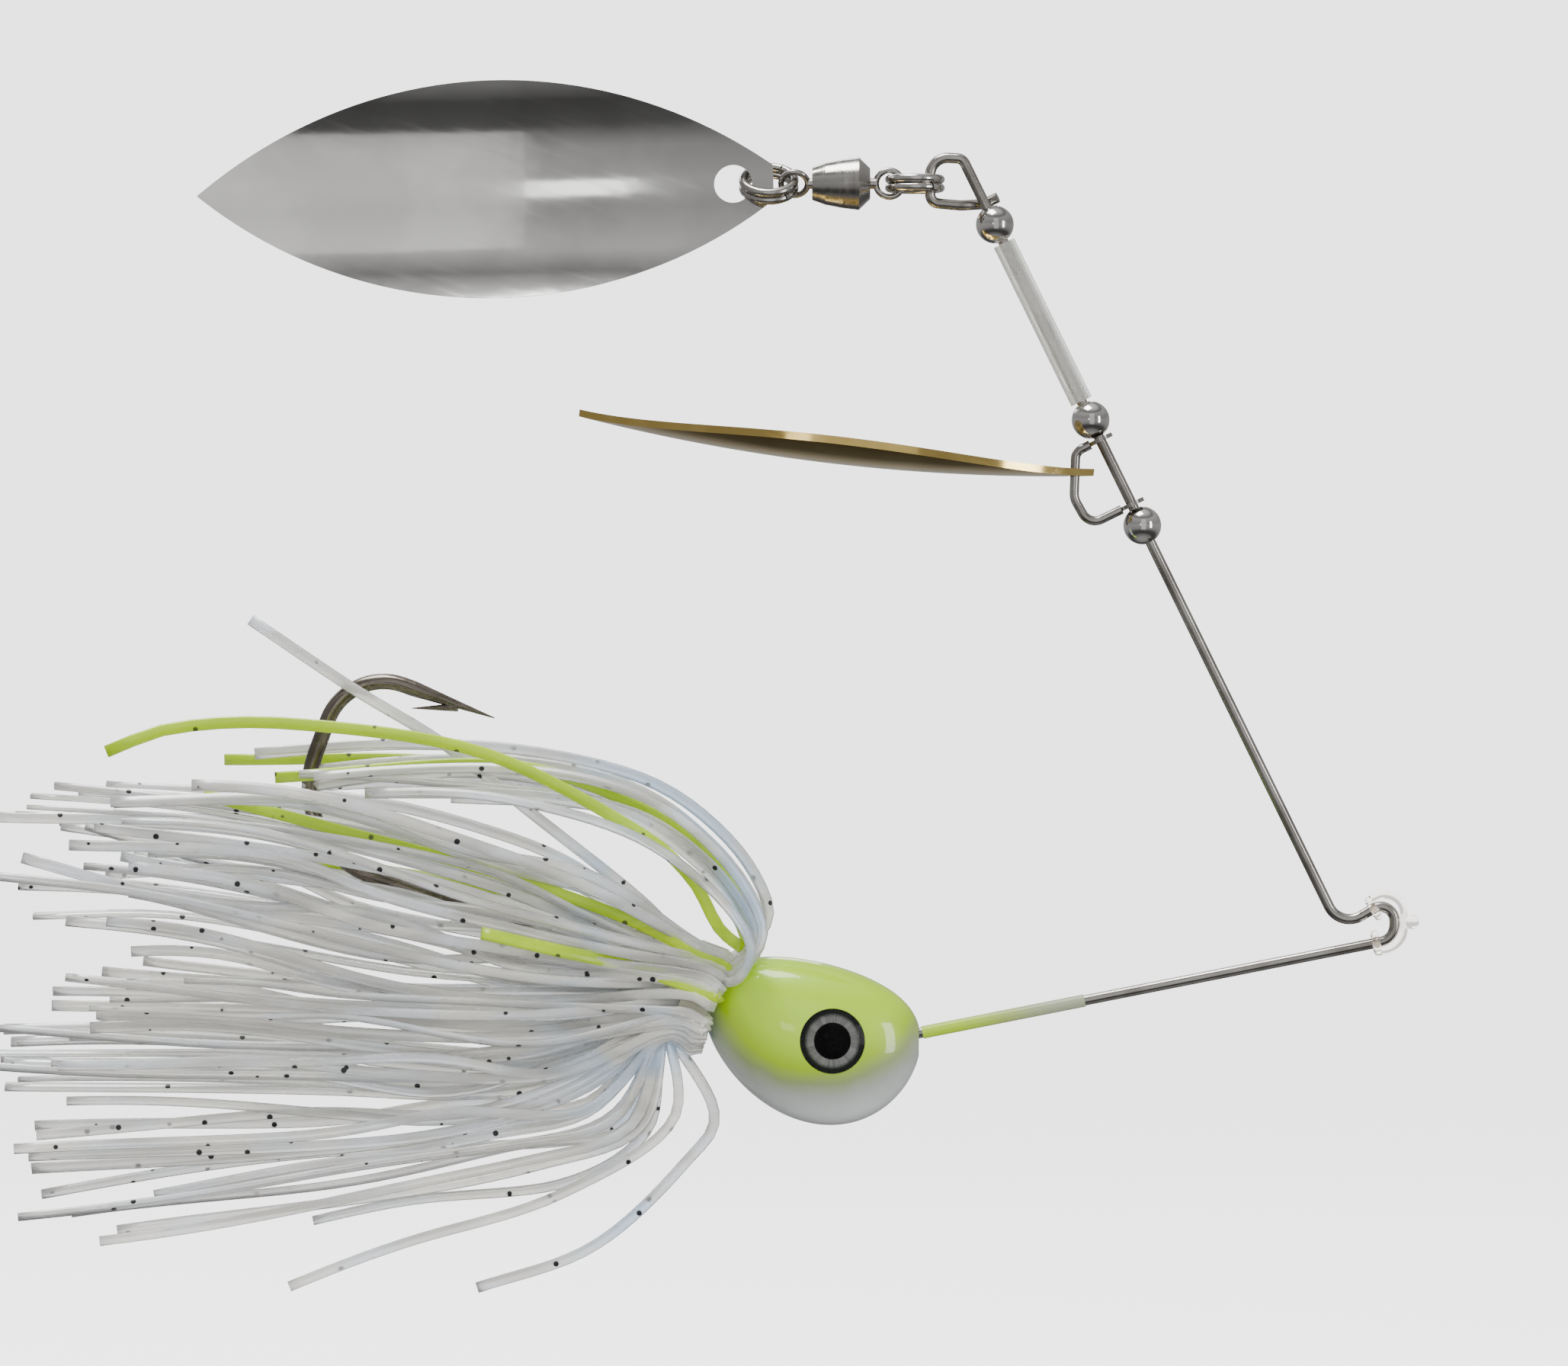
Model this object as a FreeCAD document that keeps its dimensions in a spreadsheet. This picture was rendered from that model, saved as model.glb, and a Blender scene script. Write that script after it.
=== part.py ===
import FreeCAD, Part
import math
import os
import Sketcher
from FreeCAD import Placement, Rotation, Vector

# A spinnerbait: a bent wire frame carries a weighted fish head with its hook and
# skirt on the lower arm, and two willow-leaf blades on the upper arm. The small
# blade hangs from a clevis that turns on the arm between hollow beads. The large
# blade trails from the closed loop at the arm's end, behind two split rings and
# a ball-bearing swivel.
#
# Frame: the origin lies inside the bend where the line is tied, +X points ahead,
# +Z up, and the wire lies in the XZ plane. Lengths are millimetres, angles degrees.

DIMENSIONS = (
    ("zero", 0.0, "a turned piece's rear face"),
    ("wire_diameter", 0.9, "frame wire"),
    ("arm_lean", 26.1, "upper arm, leaning back from upright"),
    ("arm_base_x", -5.13, "where the upper arm's straight run begins"),
    ("arm_base_z", 2.26, "the same point's height"),
    ("arm_length", 68.99, "upper arm from there to the loop's front corner"),
    ("trough_x", -3.75, "hollow between the tie bend and the upper arm"),
    ("trough_z", -0.55, "the same point's height"),
    ("lower_slope", 11.17, "lower arm's fall towards the head"),
    ("lower_length", 41.25, "lower arm from the tie bend to the nose"),
    ("leg_length", 3.0, "wire's turned-down end inside the hook's eye"),
    ("tie_reach", 0.87, "wire centre ahead of the tie point"),
    ("tie_drop", 1.45, "tie bend's lower corner below the tie point"),
    ("tie_rise", 2.19, "tie bend's upper corner above the tie point"),
    ("loop_x", -38.2, "upright wire at the back of the end loop"),
    ("loop_top", 64.35, "end loop's upper back corner"),
    ("loop_bottom", 60.5, "end loop's lower back corner"),
    ("swivel_height", 62.1, "the swivel's axis above the tie point"),
    ("bead_diameter", 3.2, "hollow metal bead"),
    ("bead_wall", 0.25, "bead shell"),
    ("bead_hole", 1.08, "hole along the bead"),
    ("bead_low", 34.62, "lowest bead along the upper arm"),
    ("bead_mid", 44.5, "middle bead along the upper arm"),
    ("bead_high", 62.81, "top bead along the upper arm"),
    ("bead_play", 0.15, "gap between a bead and its neighbour"),
    ("tube_outer", 1.9, "spacer tube, outside"),
    ("tube_inner", 1.06, "spacer tube, bore"),
    ("clevis_wire", 0.8, "clevis bow wire"),
    ("clevis_ear", 2.2, "clevis ear, across"),
    ("clevis_ear_thickness", 0.35, "clevis ear, thickness"),
    ("clevis_low", 36.6, "lower ear along the upper arm"),
    ("clevis_high", 42.65, "upper ear along the upper arm"),
    ("clevis_depth", 4.15, "clevis bow out from the arm"),
    ("clevis_root", 0.95, "where the bow joins its ears, out from the arm"),
    ("clevis_shoulder", 2.3, "bow's upper corner, out from the arm"),
    ("clevis_heel", 4.0, "bow's lower corner, out from the arm"),
    ("clevis_belly", 2.6, "bow's deepest corner, above the lower ear"),
    ("clevis_seat_share", 0.42, "small blade's place down the bow's slant"),
    ("ring_radius", 2.15, "split ring's centre line"),
    ("ring_wire", 0.74, "split ring wire"),
    ("ring_turn_gap", 0.72, "the two turns of a split ring, centre to centre"),
    ("ring_slit", 0.14, "gap at the end of a split ring's turn"),
    ("ring_slit_azimuth", 55.0, "that gap, from straight ahead"),
    ("ring_slit_height", 1.0, "height cut by that gap"),
    ("ring_rest", 0.04, "rear ring from the end loop's wire"),
    ("front_ring_roll", 34.0, "front ring's turn about the swivel's axis"),
    ("eye_hole", 1.72, "hole through a swivel eye"),
    ("eye_wire", 0.52, "swivel eye's wire"),
    ("eye_clearance", 0.12, "front eye from the cap"),
    ("stem_diameter", 0.9, "swivel stem"),
    ("stem_bore_radius", 0.5, "hole that the stem turns in"),
    ("stem_head", 2.5, "head on the stem's inner end"),
    ("stem_head_thickness", 0.3, "thickness of that head"),
    ("barrel_rear_x", -43.25, "the barrel's rear face"),
    ("barrel_end", 1.3, "barrel radius at its rear face"),
    ("barrel_wide", 2.22, "barrel radius at its widest"),
    ("barrel_wide_at", 0.95, "widest place, from the rear face"),
    ("barrel_full", 2.06, "barrel radius further forward"),
    ("barrel_full_at", 2.3, "that place, from the rear face"),
    ("barrel_mouth", 1.78, "barrel radius where the cap begins"),
    ("barrel_mouth_at", 3.78, "where the cap begins, from the rear face"),
    ("barrel_wall_at", 0.55, "inner face of the barrel's rear wall"),
    ("barrel_cavity", 1.47, "inside radius"),
    ("cap_end", 1.38, "cap radius at its outer face"),
    ("cap_length", 1.1, "end cap"),
    ("ball_diameter", 0.55, "bearing ball"),
    ("ball_circle", 0.95, "radius of the ring of balls"),
    ("ball_play", 0.02, "gap beside a ball"),
    ("blade_thickness", 0.6, "both blades"),
    ("blade_heel_share", 0.75, "root end's curve, as a share of the blade's length"),
    ("blade_cutter", 16.0, "height of the cylinders that trim a blade"),
    ("big_length", 48.5, "large blade, tip to root"),
    ("big_half_width", 9.15, "large blade, half its width"),
    ("big_side_radius", 39.2, "large blade, side curve"),
    ("big_cup_radius", 18.2, "large blade, curve across"),
    ("big_bow_radius", 122.0, "large blade, curve along"),
    ("big_hole", 3.2, "large blade's hole"),
    ("big_hole_setback", 3.4, "large blade's hole from the root end"),
    ("big_lean", -1.4, "large blade's turn from level"),
    ("big_slack", 0.38, "front ring from the edge of the large blade's hole"),
    ("small_length", 43.6, "small blade, tip to root"),
    ("small_half_width", 7.4, "small blade, half its width"),
    ("small_side_radius", 36.0, "small blade, side curve"),
    ("small_cup_radius", 19.5, "small blade, curve across"),
    ("small_bow_radius", 160.0, "small blade, curve along"),
    ("small_hole", 1.9, "small blade's hole"),
    ("small_hole_setback", 1.6, "small blade's hole from the root end"),
    ("small_lean", 6.6, "small blade's turn from level"),
    ("head_back", -57.3, "back of the head"),
    ("head_length", 18.3, "head, back to nose"),
    ("head_height", 13.7, "head, at its deepest"),
    ("head_width", 8.8, "head, at its widest"),
    ("head_middle", -10.85, "height of the head's deepest section"),
    ("head_tail_rise", 3.9, "rise of the head's middle line at the back"),
    ("head_nose_rise", 0.9, "rise of the head's middle line at the nose"),
    ("head_blunt", 0.06, "share of the half turn left off each end of the head"),
    ("eye_diameter", 5.4, "fish eye"),
    ("eye_socket_depth", 1.0, "socket's floor, in from the head's widest"),
    ("eye_socket_play", 0.03, "gap round a fish eye in its socket"),
    ("eye_x", -46.45, "fish eye's centre"),
    ("eye_z", -9.85, "fish eye's height"),
    ("eye_foil_thickness", 0.35, "foil disc behind the fish eye's lens"),
    ("eye_lens_height", 0.75, "dome of the fish eye's lens"),
    ("eye_lens_rim", 0.45, "straight edge of that lens"),
    ("eye_lens_gap", 0.01, "lens from the foil"),
    ("collar_radius", 1.85, "skirt collar behind the head"),
    ("collar_ridge", 2.15, "ridge at the collar's end, radius"),
    ("collar_ridge_bead", 1.0, "that ridge, through its bead"),
    ("collar_start", 48.0, "skirt collar's root, along the hook"),
    ("collar_length", 8.6, "skirt collar"),
    ("sleeve_diameter", 1.08, "paint carried out along the lower arm"),
    ("sleeve_bore", 0.92, "inside of that paint"),
    ("sleeve_start", 0.75, "paint sleeve's start, ahead of the nose"),
    ("sleeve_length", 13.9, "paint sleeve"),
    ("hook_wire", 1.35, "hook wire"),
    ("hook_tilt", 20.0, "shank's rise towards the bend"),
    ("hook_line", -25.53, "shank's centre line, across the hook's direction"),
    ("hook_gap", 16.05, "shank to point, centre to centre"),
    ("hook_back", 89.33, "back of the bend, along the hook's direction"),
    ("hook_eye_at", 37.12, "hook eye's centre, along the hook's direction"),
    ("hook_eye_radius", 1.4, "hook eye's centre line"),
    ("hook_eye_wire", 1.0, "hook eye's wire"),
    ("hook_bend_low", 8.03, "bend radius on the shank's side"),
    ("hook_bend_high", 5.0, "bend radius on the point's side"),
    ("hook_taper_at", 83.4, "where the point's taper begins"),
    ("hook_tip_at", 76.2, "the point's tip"),
    ("sharp_tip", 0.09, "across a ground tip"),
    ("barb_root_at", 79.4, "barb's root, along the hook's direction"),
    ("barb_root_drop", 0.2, "barb's root below the point's centre line"),
    ("barb_tip_at", 83.0, "barb's tip, along the hook's direction"),
    ("barb_tip_drop", 1.6, "barb's tip below the point's centre line"),
    ("barb_wire", 0.76, "barb at its root"),
    ("band_at", 52.2, "skirt band's middle, along the hook"),
    ("band_width", 2.4, "skirt band"),
    ("band_inner", 4.1, "skirt band's inside radius"),
    ("band_outer", 4.5, "skirt band's outside radius"),
    ("strand_diameter", 0.85, "skirt strand"),
    ("strand_ring_inner", 2.45, "inner ring of strands under the band"),
    ("strand_ring_outer", 3.5, "outer ring of strands under the band"),
    ("trail_heading", 199.0, "middle trailing strand's heading from +X"),
    ("trail_fan", 34.0, "top and lowest trailing strands from that heading"),
    ("trail_length", 58.0, "longest trailing strand's reach from the band"),
    ("trail_shorter", 20.0, "how much shorter a sideways strand is, for each unit lower"),
    ("trail_side", 3.5, "least sideways reach of a trailing tip"),
    ("trail_side_more", 8.0, "further sideways reach of a strand from the side"),
    ("arch_side", 6.0, "least sideways reach of an arched tip"),
    ("arch_side_more", 5.0, "further sideways reach of a strand from the side"),
    ("keeper_diameter", 0.62, "clear band at the tie bend"),
    ("keeper_play", 0.02, "clear band from the wire"),
    ("keeper_low", 1.6, "its lower wrap, back along the lower arm"),
    ("keeper_high", 2.1, "its upper wrap, down from the bend's upper corner"),
    ("keeper_knot", 1.2, "knot on the clear band"),
)

# Bend radii of the frame wire, from its turned-down end in the head to the end
# loop's tail.
FRAME_BENDS = (1.0, 1.5, 1.2, 1.9, 0.8, 1.45, 0.75, 2.0, 0.8)
# The end loop's tail, which passes beside the arm to close the loop.
LOOP_TAIL = ((-35.6, 0.45, 60.3), (-33.7, 1.12, 60.45), (-32.5, 0.8, 61.0))
CLEVIS_BENDS = (0.95, 1.6, 1.2)
KEEPER_BENDS = (1.9, 1.6)
# An arched strand: back from the band's middle and out from the shank at the neck,
# then back, above the shank, and how much higher a strand from the side is kept.
ARCH_NECK = ((0.3, 3.5), (-1.55, 3.5), (-3.1, 6.6), (-0.4, 12.0))
ARCH_SWEEP = ((15.0, 15.4, 0.0), (53.0, 4.5, 1.5))

AHEAD = Vector(1, 0, 0)
UP = Vector(0, 0, 1)
SIDEWAYS = Vector(0, 1, 0)

doc = FreeCAD.newDocument("Spinnerbait")
sheet = doc.addObject("Spreadsheet::Sheet", "dims")
pieces = []


def fill_sheet():
    for row, (alias, value, meaning) in enumerate(DIMENSIONS, start=1):
        sheet.set(f"A{row}", meaning)
        sheet.set(f"B{row}", str(value))
        sheet.setAlias(f"B{row}", alias)
    doc.recompute()


fill_sheet()


def dim(alias):
    return float(sheet.get(alias))


def flat(x, z):
    """A point in the frame's own plane."""
    return Vector(x, 0, z)


def facing(direction):
    """Turn that sends the local Z axis along a direction."""
    return Rotation(UP, direction)


def keep(piece, label):
    """Name a finished sub-part and remember it for export."""
    piece.Label = label
    pieces.append(piece)
    return piece


def primitive(kind, name, place=None, **sizes):
    """A Part primitive whose sizes follow expressions on the sheet."""
    solid = doc.addObject(kind, name)
    for size, expression in sizes.items():
        solid.setExpression(size, expression)
    if place is not None:
        solid.Placement = place
    return solid


def joined(name, members):
    fuse = doc.addObject("Part::MultiFuse", name)
    fuse.Shapes = members
    return fuse


def shared(name, members):
    """What all the members have in common, found pair by pair."""
    result = members[0]
    for number, member in enumerate(members[1:], start=1):
        common = doc.addObject("Part::Common", f"{name}_{number}")
        common.Base = result
        common.Tool = member
        result = common
    return result


def without(name, base, tool):
    cut = doc.addObject("Part::Cut", name)
    cut.Base = base
    cut.Tool = tool
    return cut


def grouped(name, members):
    group = doc.addObject("Part::Compound", name)
    group.Links = members
    return group


def rounded_line(points, radii):
    """A wire through the points, with a tangent arc of each radius at the corners."""
    edges = []
    start = points[0]
    for before, corner, after, radius in zip(points, points[1:], points[2:], radii):
        back = (before - corner).normalize()
        ahead = (after - corner).normalize()
        half_turn = back.getAngle(ahead) / 2
        reach = radius / math.tan(half_turn)
        centre = corner + (back + ahead).normalize() * (radius / math.sin(half_turn))
        middle = centre + (corner - centre).normalize() * radius
        edges.append(Part.LineSegment(start, corner + back * reach).toShape())
        edges.append(Part.Arc(corner + back * reach, middle, corner + ahead * reach).toShape())
        start = corner + ahead * reach
    edges.append(Part.LineSegment(start, points[-1]).toShape())
    return Part.Wire(edges)


def easy_radii(points):
    """Arcs that each take up 45 hundredths of the shorter run beside their corner."""
    share = 0.45
    radii = []
    for before, corner, after in zip(points, points[1:], points[2:]):
        shorter = min((corner - before).Length, (after - corner).Length)
        turn = (corner - before).getAngle(after - corner)
        radii.append(share * shorter / math.tan(turn / 2))
    return radii


def bent_wire(name, points, radii, diameter):
    """Round wire swept along straight runs and tangent arcs."""
    route = doc.addObject("Part::Feature", name + "_route")
    route.Shape = rounded_line(points, radii)
    section = primitive(
        "Part::Circle",
        name + "_section",
        Placement(points[0], facing(points[1] - points[0])),
        Radius=f"dims.{diameter} / 2",
    )
    wire = doc.addObject("Part::Sweep", name)
    wire.Sections = [section]
    wire.Spine = (route, [f"Edge{number}" for number in range(1, len(route.Shape.Edges) + 1)])
    wire.Solid = True
    return wire


def new_body(name, place):
    body = doc.addObject("PartDesign::Body", name)
    body.Placement = place
    return body


def new_sketch(body, name, role):
    sketch = body.newObject("Sketcher::SketchObject", name)
    plane = next(item for item in body.Origin.OriginFeatures if item.Role == role)
    sketch.AttachmentSupport = [(plane, "")]
    sketch.MapMode = "FlatFace"
    return sketch


def draw_outline(sketch, corners):
    """Closed straight-sided outline. A corner names the cells of its two distances."""
    points = [Vector(dim(across), dim(up), 0) for across, up in corners]
    for start, end in zip(points, points[1:] + points[:1]):
        sketch.addGeometry(Part.LineSegment(start, end))
    for index, (across, up) in enumerate(corners):
        previous = (index - 1) % len(corners)
        sketch.addConstraint(Sketcher.Constraint("Coincident", previous, 2, index, 1))
        for way, cell in (("DistanceX", across), ("DistanceY", up)):
            rule = Sketcher.Constraint(way, -1, 1, index, 1, dim(cell))
            number = sketch.addConstraint(rule)
            sketch.setExpression(f"Constraints[{number}]", f"dims.{cell}")


def draw_circle(sketch, diameter):
    circle = sketch.addGeometry(Part.Circle(Vector(0, 0, 0), UP, dim(diameter) / 2))
    sketch.addConstraint(Sketcher.Constraint("Coincident", circle, 3, -1, 1))
    number = sketch.addConstraint(Sketcher.Constraint("Radius", circle, dim(diameter) / 2))
    sketch.setExpression(f"Constraints[{number}]", f"dims.{diameter} / 2")


# Directions that the sub-parts share.

ARM = Rotation(SIDEWAYS, -dim("arm_lean")).multVec(UP)
OUT = Rotation(SIDEWAYS, -dim("arm_lean")).multVec(AHEAD * -1)
ARM_BASE = flat(dim("arm_base_x"), dim("arm_base_z"))
HOOK_BACK = Rotation(SIDEWAYS, dim("hook_tilt")).multVec(AHEAD * -1)
HOOK_UP = Rotation(SIDEWAYS, dim("hook_tilt")).multVec(UP)
LOWER_BACK = Rotation(SIDEWAYS, -dim("lower_slope")).multVec(AHEAD * -1)
TIE_LOW = flat(dim("tie_reach"), -dim("tie_drop"))
TIE_HIGH = flat(dim("tie_reach"), dim("tie_rise"))
TROUGH = flat(dim("trough_x"), dim("trough_z"))
NOSE = TIE_LOW + LOWER_BACK * dim("lower_length")


def on_arm(distance, out=0.0):
    """Point along the upper arm, and out from it towards the clevis's bow."""
    return ARM_BASE + ARM * distance + OUT * out


def on_hook(along, up, side=0.0):
    """Point by its distance along the hook, above the shank and to one side."""
    return HOOK_BACK * along + HOOK_UP * (dim("hook_line") + up) + SIDEWAYS * side


# Frame and hook.


def wire_frame():
    """Hooked end in the head, lower arm, tie bend, upper arm and closed end loop."""
    eye_axis = on_hook(dim("hook_eye_at"), 0)
    reach = (eye_axis - NOSE).dot(HOOK_BACK) / LOWER_BACK.dot(HOOK_BACK)
    over_eye = NOSE + LOWER_BACK * reach
    if (over_eye - eye_axis).dot(HOOK_UP) < dim("wire_diameter"):
        raise ValueError("the frame wire meets the hook's eye")
    points = [
        over_eye - HOOK_UP * dim("leg_length"),
        over_eye,
        TIE_LOW,
        TIE_HIGH,
        TROUGH,
        on_arm(dim("arm_length")),
        flat(dim("loop_x"), dim("loop_top")),
        flat(dim("loop_x"), dim("loop_bottom")),
    ]
    points += [Vector(*place) for place in LOOP_TAIL]
    keep(bent_wire("frame_wire", points, FRAME_BENDS, "wire_diameter"), "wire_frame")


def hook():
    """Round-bend hook: eye, shank, bend, tapered point and its barb."""
    start = on_hook(dim("hook_eye_at") + dim("hook_eye_radius"), 0)
    points = [
        start,
        on_hook(dim("hook_back"), 0),
        on_hook(dim("hook_back"), dim("hook_gap")),
        on_hook(dim("hook_taper_at"), dim("hook_gap")),
    ]
    radii = (dim("hook_bend_low"), dim("hook_bend_high"))
    shank = bent_wire("hook_shank", points, radii, "hook_wire")
    eye = primitive(
        "Part::Torus",
        "hook_eye",
        Placement(on_hook(dim("hook_eye_at"), 0), facing(HOOK_UP)),
        Radius1="dims.hook_eye_radius",
        Radius2="dims.hook_eye_wire / 2",
    )
    point = primitive(
        "Part::Cone",
        "hook_point",
        Placement(on_hook(dim("hook_taper_at"), dim("hook_gap")), facing(HOOK_BACK * -1)),
        Radius1="dims.hook_wire / 2",
        Radius2="dims.sharp_tip / 2",
        Height="dims.hook_taper_at - dims.hook_tip_at",
    )
    barb_root = on_hook(dim("barb_root_at"), dim("hook_gap") - dim("barb_root_drop"))
    barb_tip = on_hook(dim("barb_tip_at"), dim("hook_gap") - dim("barb_tip_drop"))
    barb = primitive(
        "Part::Cone",
        "hook_barb",
        Placement(barb_root, facing(barb_tip - barb_root)),
        Radius1="dims.barb_wire / 2",
        Radius2="dims.sharp_tip / 2",
    )
    barb.Height = (barb_tip - barb_root).Length
    keep(joined("hook_body", [shank, eye, point, barb]), "hook")


# Head, eyes and paint.


def skull():
    """Body of the fish head: ellipses that swell and shrink from its back to its nose."""
    count = 11
    tail_power = 2.4
    nose_power = 6
    blunt = dim("head_blunt")
    sections = []
    for number in range(count):
        turn = math.pi * (blunt + (1 - 2 * blunt) * number / (count - 1))
        share = (1 - math.cos(turn)) / 2
        rise = dim("head_tail_rise") * (1 - share) ** tail_power
        rise += dim("head_nose_rise") * share ** nose_power
        centre = flat(dim("head_back") + dim("head_length") * share, dim("head_middle") + rise)
        sections.append(primitive(
            "Part::Ellipse",
            f"head_section_{number}",
            Placement(centre, Rotation(UP, SIDEWAYS, AHEAD * -1)),
            MajorRadius=f"dims.head_height / 2 * {math.sin(turn):.4f}",
            MinorRadius=f"dims.head_width / 2 * {math.sin(turn):.4f}",
        ))
    loft = doc.addObject("Part::Loft", "head_skull")
    loft.Sections = sections
    loft.Solid = True
    return loft


def head():
    """Lead fish head cast around the hook's eye and the wire, with its skirt collar."""
    collar = primitive(
        "Part::Cylinder",
        "head_collar",
        Placement(on_hook(dim("collar_start"), 0), facing(HOOK_BACK)),
        Radius="dims.collar_radius",
        Height="dims.collar_length",
    )
    ridge_at = dim("collar_start") + dim("collar_length") - dim("collar_ridge_bead") / 2
    ridge = primitive(
        "Part::Torus",
        "head_collar_ridge",
        Placement(on_hook(ridge_at, 0), facing(HOOK_BACK)),
        Radius1="dims.collar_ridge - dims.collar_ridge_bead / 2",
        Radius2="dims.collar_ridge_bead / 2",
    )
    sockets = []
    for side, sign in (("left", -1), ("right", 1)):
        sockets.append(eye_cylinder(
            f"eye_socket_{side}",
            sign,
            "dims.eye_socket_depth * 2",
            "dims.eye_diameter / 2 + dims.eye_socket_play",
        ))
    lump = joined("head_lump", [skull(), collar, ridge])
    cavity = joined("head_cavity", sockets)
    bare = without("head_bare", lump, cavity)
    wired = without("head_wired", bare, piece_named("wire_frame"))
    keep(without("head_cast", wired, piece_named("hook")), "head")


def eye_floor():
    """Distance of a socket's floor from the middle plane."""
    return dim("head_width") / 2 - dim("eye_socket_depth")


def eye_cylinder(name, sign, height, radius):
    """Cylinder that stands outward from a socket's floor."""
    floor = Vector(dim("eye_x"), sign * eye_floor(), dim("eye_z"))
    place = Placement(floor, facing(SIDEWAYS * sign))
    return primitive("Part::Cylinder", name, place, Height=height, Radius=radius)


def fish_eye(side, sign):
    """Foil disc in the socket, under a clear domed lens."""
    width = "dims.eye_diameter / 2"
    foil = eye_cylinder(f"foil_{side}", sign, "dims.eye_foil_thickness", width)
    keep(foil, f"eye_foil_{side}")
    dome = dim("eye_lens_height")
    ball_radius = ((dim("eye_diameter") / 2) ** 2 + dome ** 2) / (2 * dome)
    start = eye_floor() + dim("eye_foil_thickness") + dim("eye_lens_gap")
    middle = sign * (start + dim("eye_lens_rim") + dome - ball_radius)
    ball = primitive(
        "Part::Sphere",
        f"lens_ball_{side}",
        Placement(Vector(dim("eye_x"), middle, dim("eye_z")), Rotation()),
        Radius="(dims.eye_diameter / 2) ^ 2 / dims.eye_lens_height / 2 + dims.eye_lens_height / 2",
    )
    height = "(dims.eye_lens_rim + dims.eye_lens_height) * 2"
    blank = eye_cylinder(f"lens_blank_{side}", sign, height, width)
    blank.Placement.Base.y = sign * start
    keep(shared(f"lens_{side}", [blank, ball]), f"eye_lens_{side}")


def paint_sleeve():
    """Skin of paint that runs from the nose out along the lower arm."""
    start = NOSE - LOWER_BACK * dim("sleeve_start")
    body = new_body("sleeve_body", Placement(start, facing(LOWER_BACK * -1)))
    sketch = new_sketch(body, "sleeve_outline", "XY_Plane")
    draw_circle(sketch, "sleeve_diameter")
    draw_circle(sketch, "sleeve_bore")
    pad = body.newObject("PartDesign::Pad", "sleeve_pad")
    pad.Profile = sketch
    pad.setExpression("Length", "dims.sleeve_length")
    keep(body, "wire_paint_sleeve")


# Beads, tube and clevis on the upper arm.


def bead(name, cell):
    """Thin-walled metal ball with a hole along the arm."""
    body = new_body(name + "_body", Placement(on_arm(dim(cell)), facing(ARM)))
    ball = body.newObject("PartDesign::AdditiveSphere", name + "_ball")
    ball.setExpression("Radius", "dims.bead_diameter / 2")
    doc.recompute()
    hollow = body.newObject("PartDesign::SubtractiveSphere", name + "_hollow")
    hollow.setExpression("Radius", "dims.bead_diameter / 2 - dims.bead_wall")
    doc.recompute()
    bore = body.newObject("PartDesign::SubtractiveCylinder", name + "_bore")
    bore.setExpression("Radius", "dims.bead_hole / 2")
    bore.setExpression("Height", "dims.bead_diameter * 2")
    bore.Placement.Base.z = -dim("bead_diameter")
    keep(body, name)


def spacer_tube():
    """Plastic tube that holds the top and middle beads apart."""
    low = dim("bead_mid") + dim("bead_diameter") / 2 + dim("bead_play")
    body = new_body("tube_body", Placement(on_arm(low), facing(ARM)))
    sketch = new_sketch(body, "tube_outline", "XY_Plane")
    draw_circle(sketch, "tube_outer")
    draw_circle(sketch, "tube_inner")
    pad = body.newObject("PartDesign::Pad", "tube_pad")
    pad.Profile = sketch
    pad.setExpression(
        "Length",
        "dims.bead_high - dims.bead_mid - dims.bead_diameter - dims.bead_play * 2",
    )
    keep(body, "spacer_tube")


def clevis_corners():
    """Corners of the clevis's bow, from the upper ear to the lower one."""
    low = dim("clevis_low")
    high = dim("clevis_high")
    return [
        on_arm(high, dim("clevis_root")),
        on_arm(high, dim("clevis_shoulder")),
        on_arm(low + dim("clevis_belly"), dim("clevis_depth")),
        on_arm(low, dim("clevis_heel")),
        on_arm(low, dim("clevis_root")),
    ]


def clevis():
    """Stirrup of wire between two flat ears that turn on the arm."""
    parts = [bent_wire("clevis_bow", clevis_corners(), CLEVIS_BENDS, "clevis_wire")]
    for name, distance in (("low", dim("clevis_low")), ("high", dim("clevis_high"))):
        middle = on_arm(distance) - ARM * (dim("clevis_ear_thickness") / 2)
        parts.append(primitive(
            "Part::Cylinder",
            f"clevis_ear_{name}",
            Placement(middle, facing(ARM)),
            Radius="dims.clevis_ear / 2",
            Height="dims.clevis_ear_thickness",
        ))
    bore = primitive(
        "Part::Cylinder",
        "clevis_bore",
        Placement(on_arm(dim("clevis_low") - dim("clevis_ear")), facing(ARM)),
        Radius="dims.bead_hole / 2",
        Height="dims.clevis_high - dims.clevis_low + dims.clevis_ear * 2",
    )
    keep(without("clevis_bored", joined("clevis_blank", parts), bore), "clevis")


# Blades.


def blade_tool(name, x, y, radius):
    """Upright cylinder that trims a blade."""
    place = Placement(Vector(x, y, -dim("blade_cutter") / 2), Rotation())
    return primitive("Part::Cylinder", name, place, Radius=radius, Height="dims.blade_cutter")


def blade_face(name, word, trim):
    """Ring whose outermost skin is one face of a blade, cupped across and bowed along."""
    centre = Vector(-dim(f"{name}_length") / 2, 0, -dim(f"{name}_bow_radius"))
    return primitive(
        "Part::Torus",
        f"{name}_{word}",
        Placement(centre, facing(SIDEWAYS)),
        Radius1=f"dims.{name}_bow_radius - dims.{name}_cup_radius",
        Radius2=f"dims.{name}_cup_radius{trim}",
    )


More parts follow.
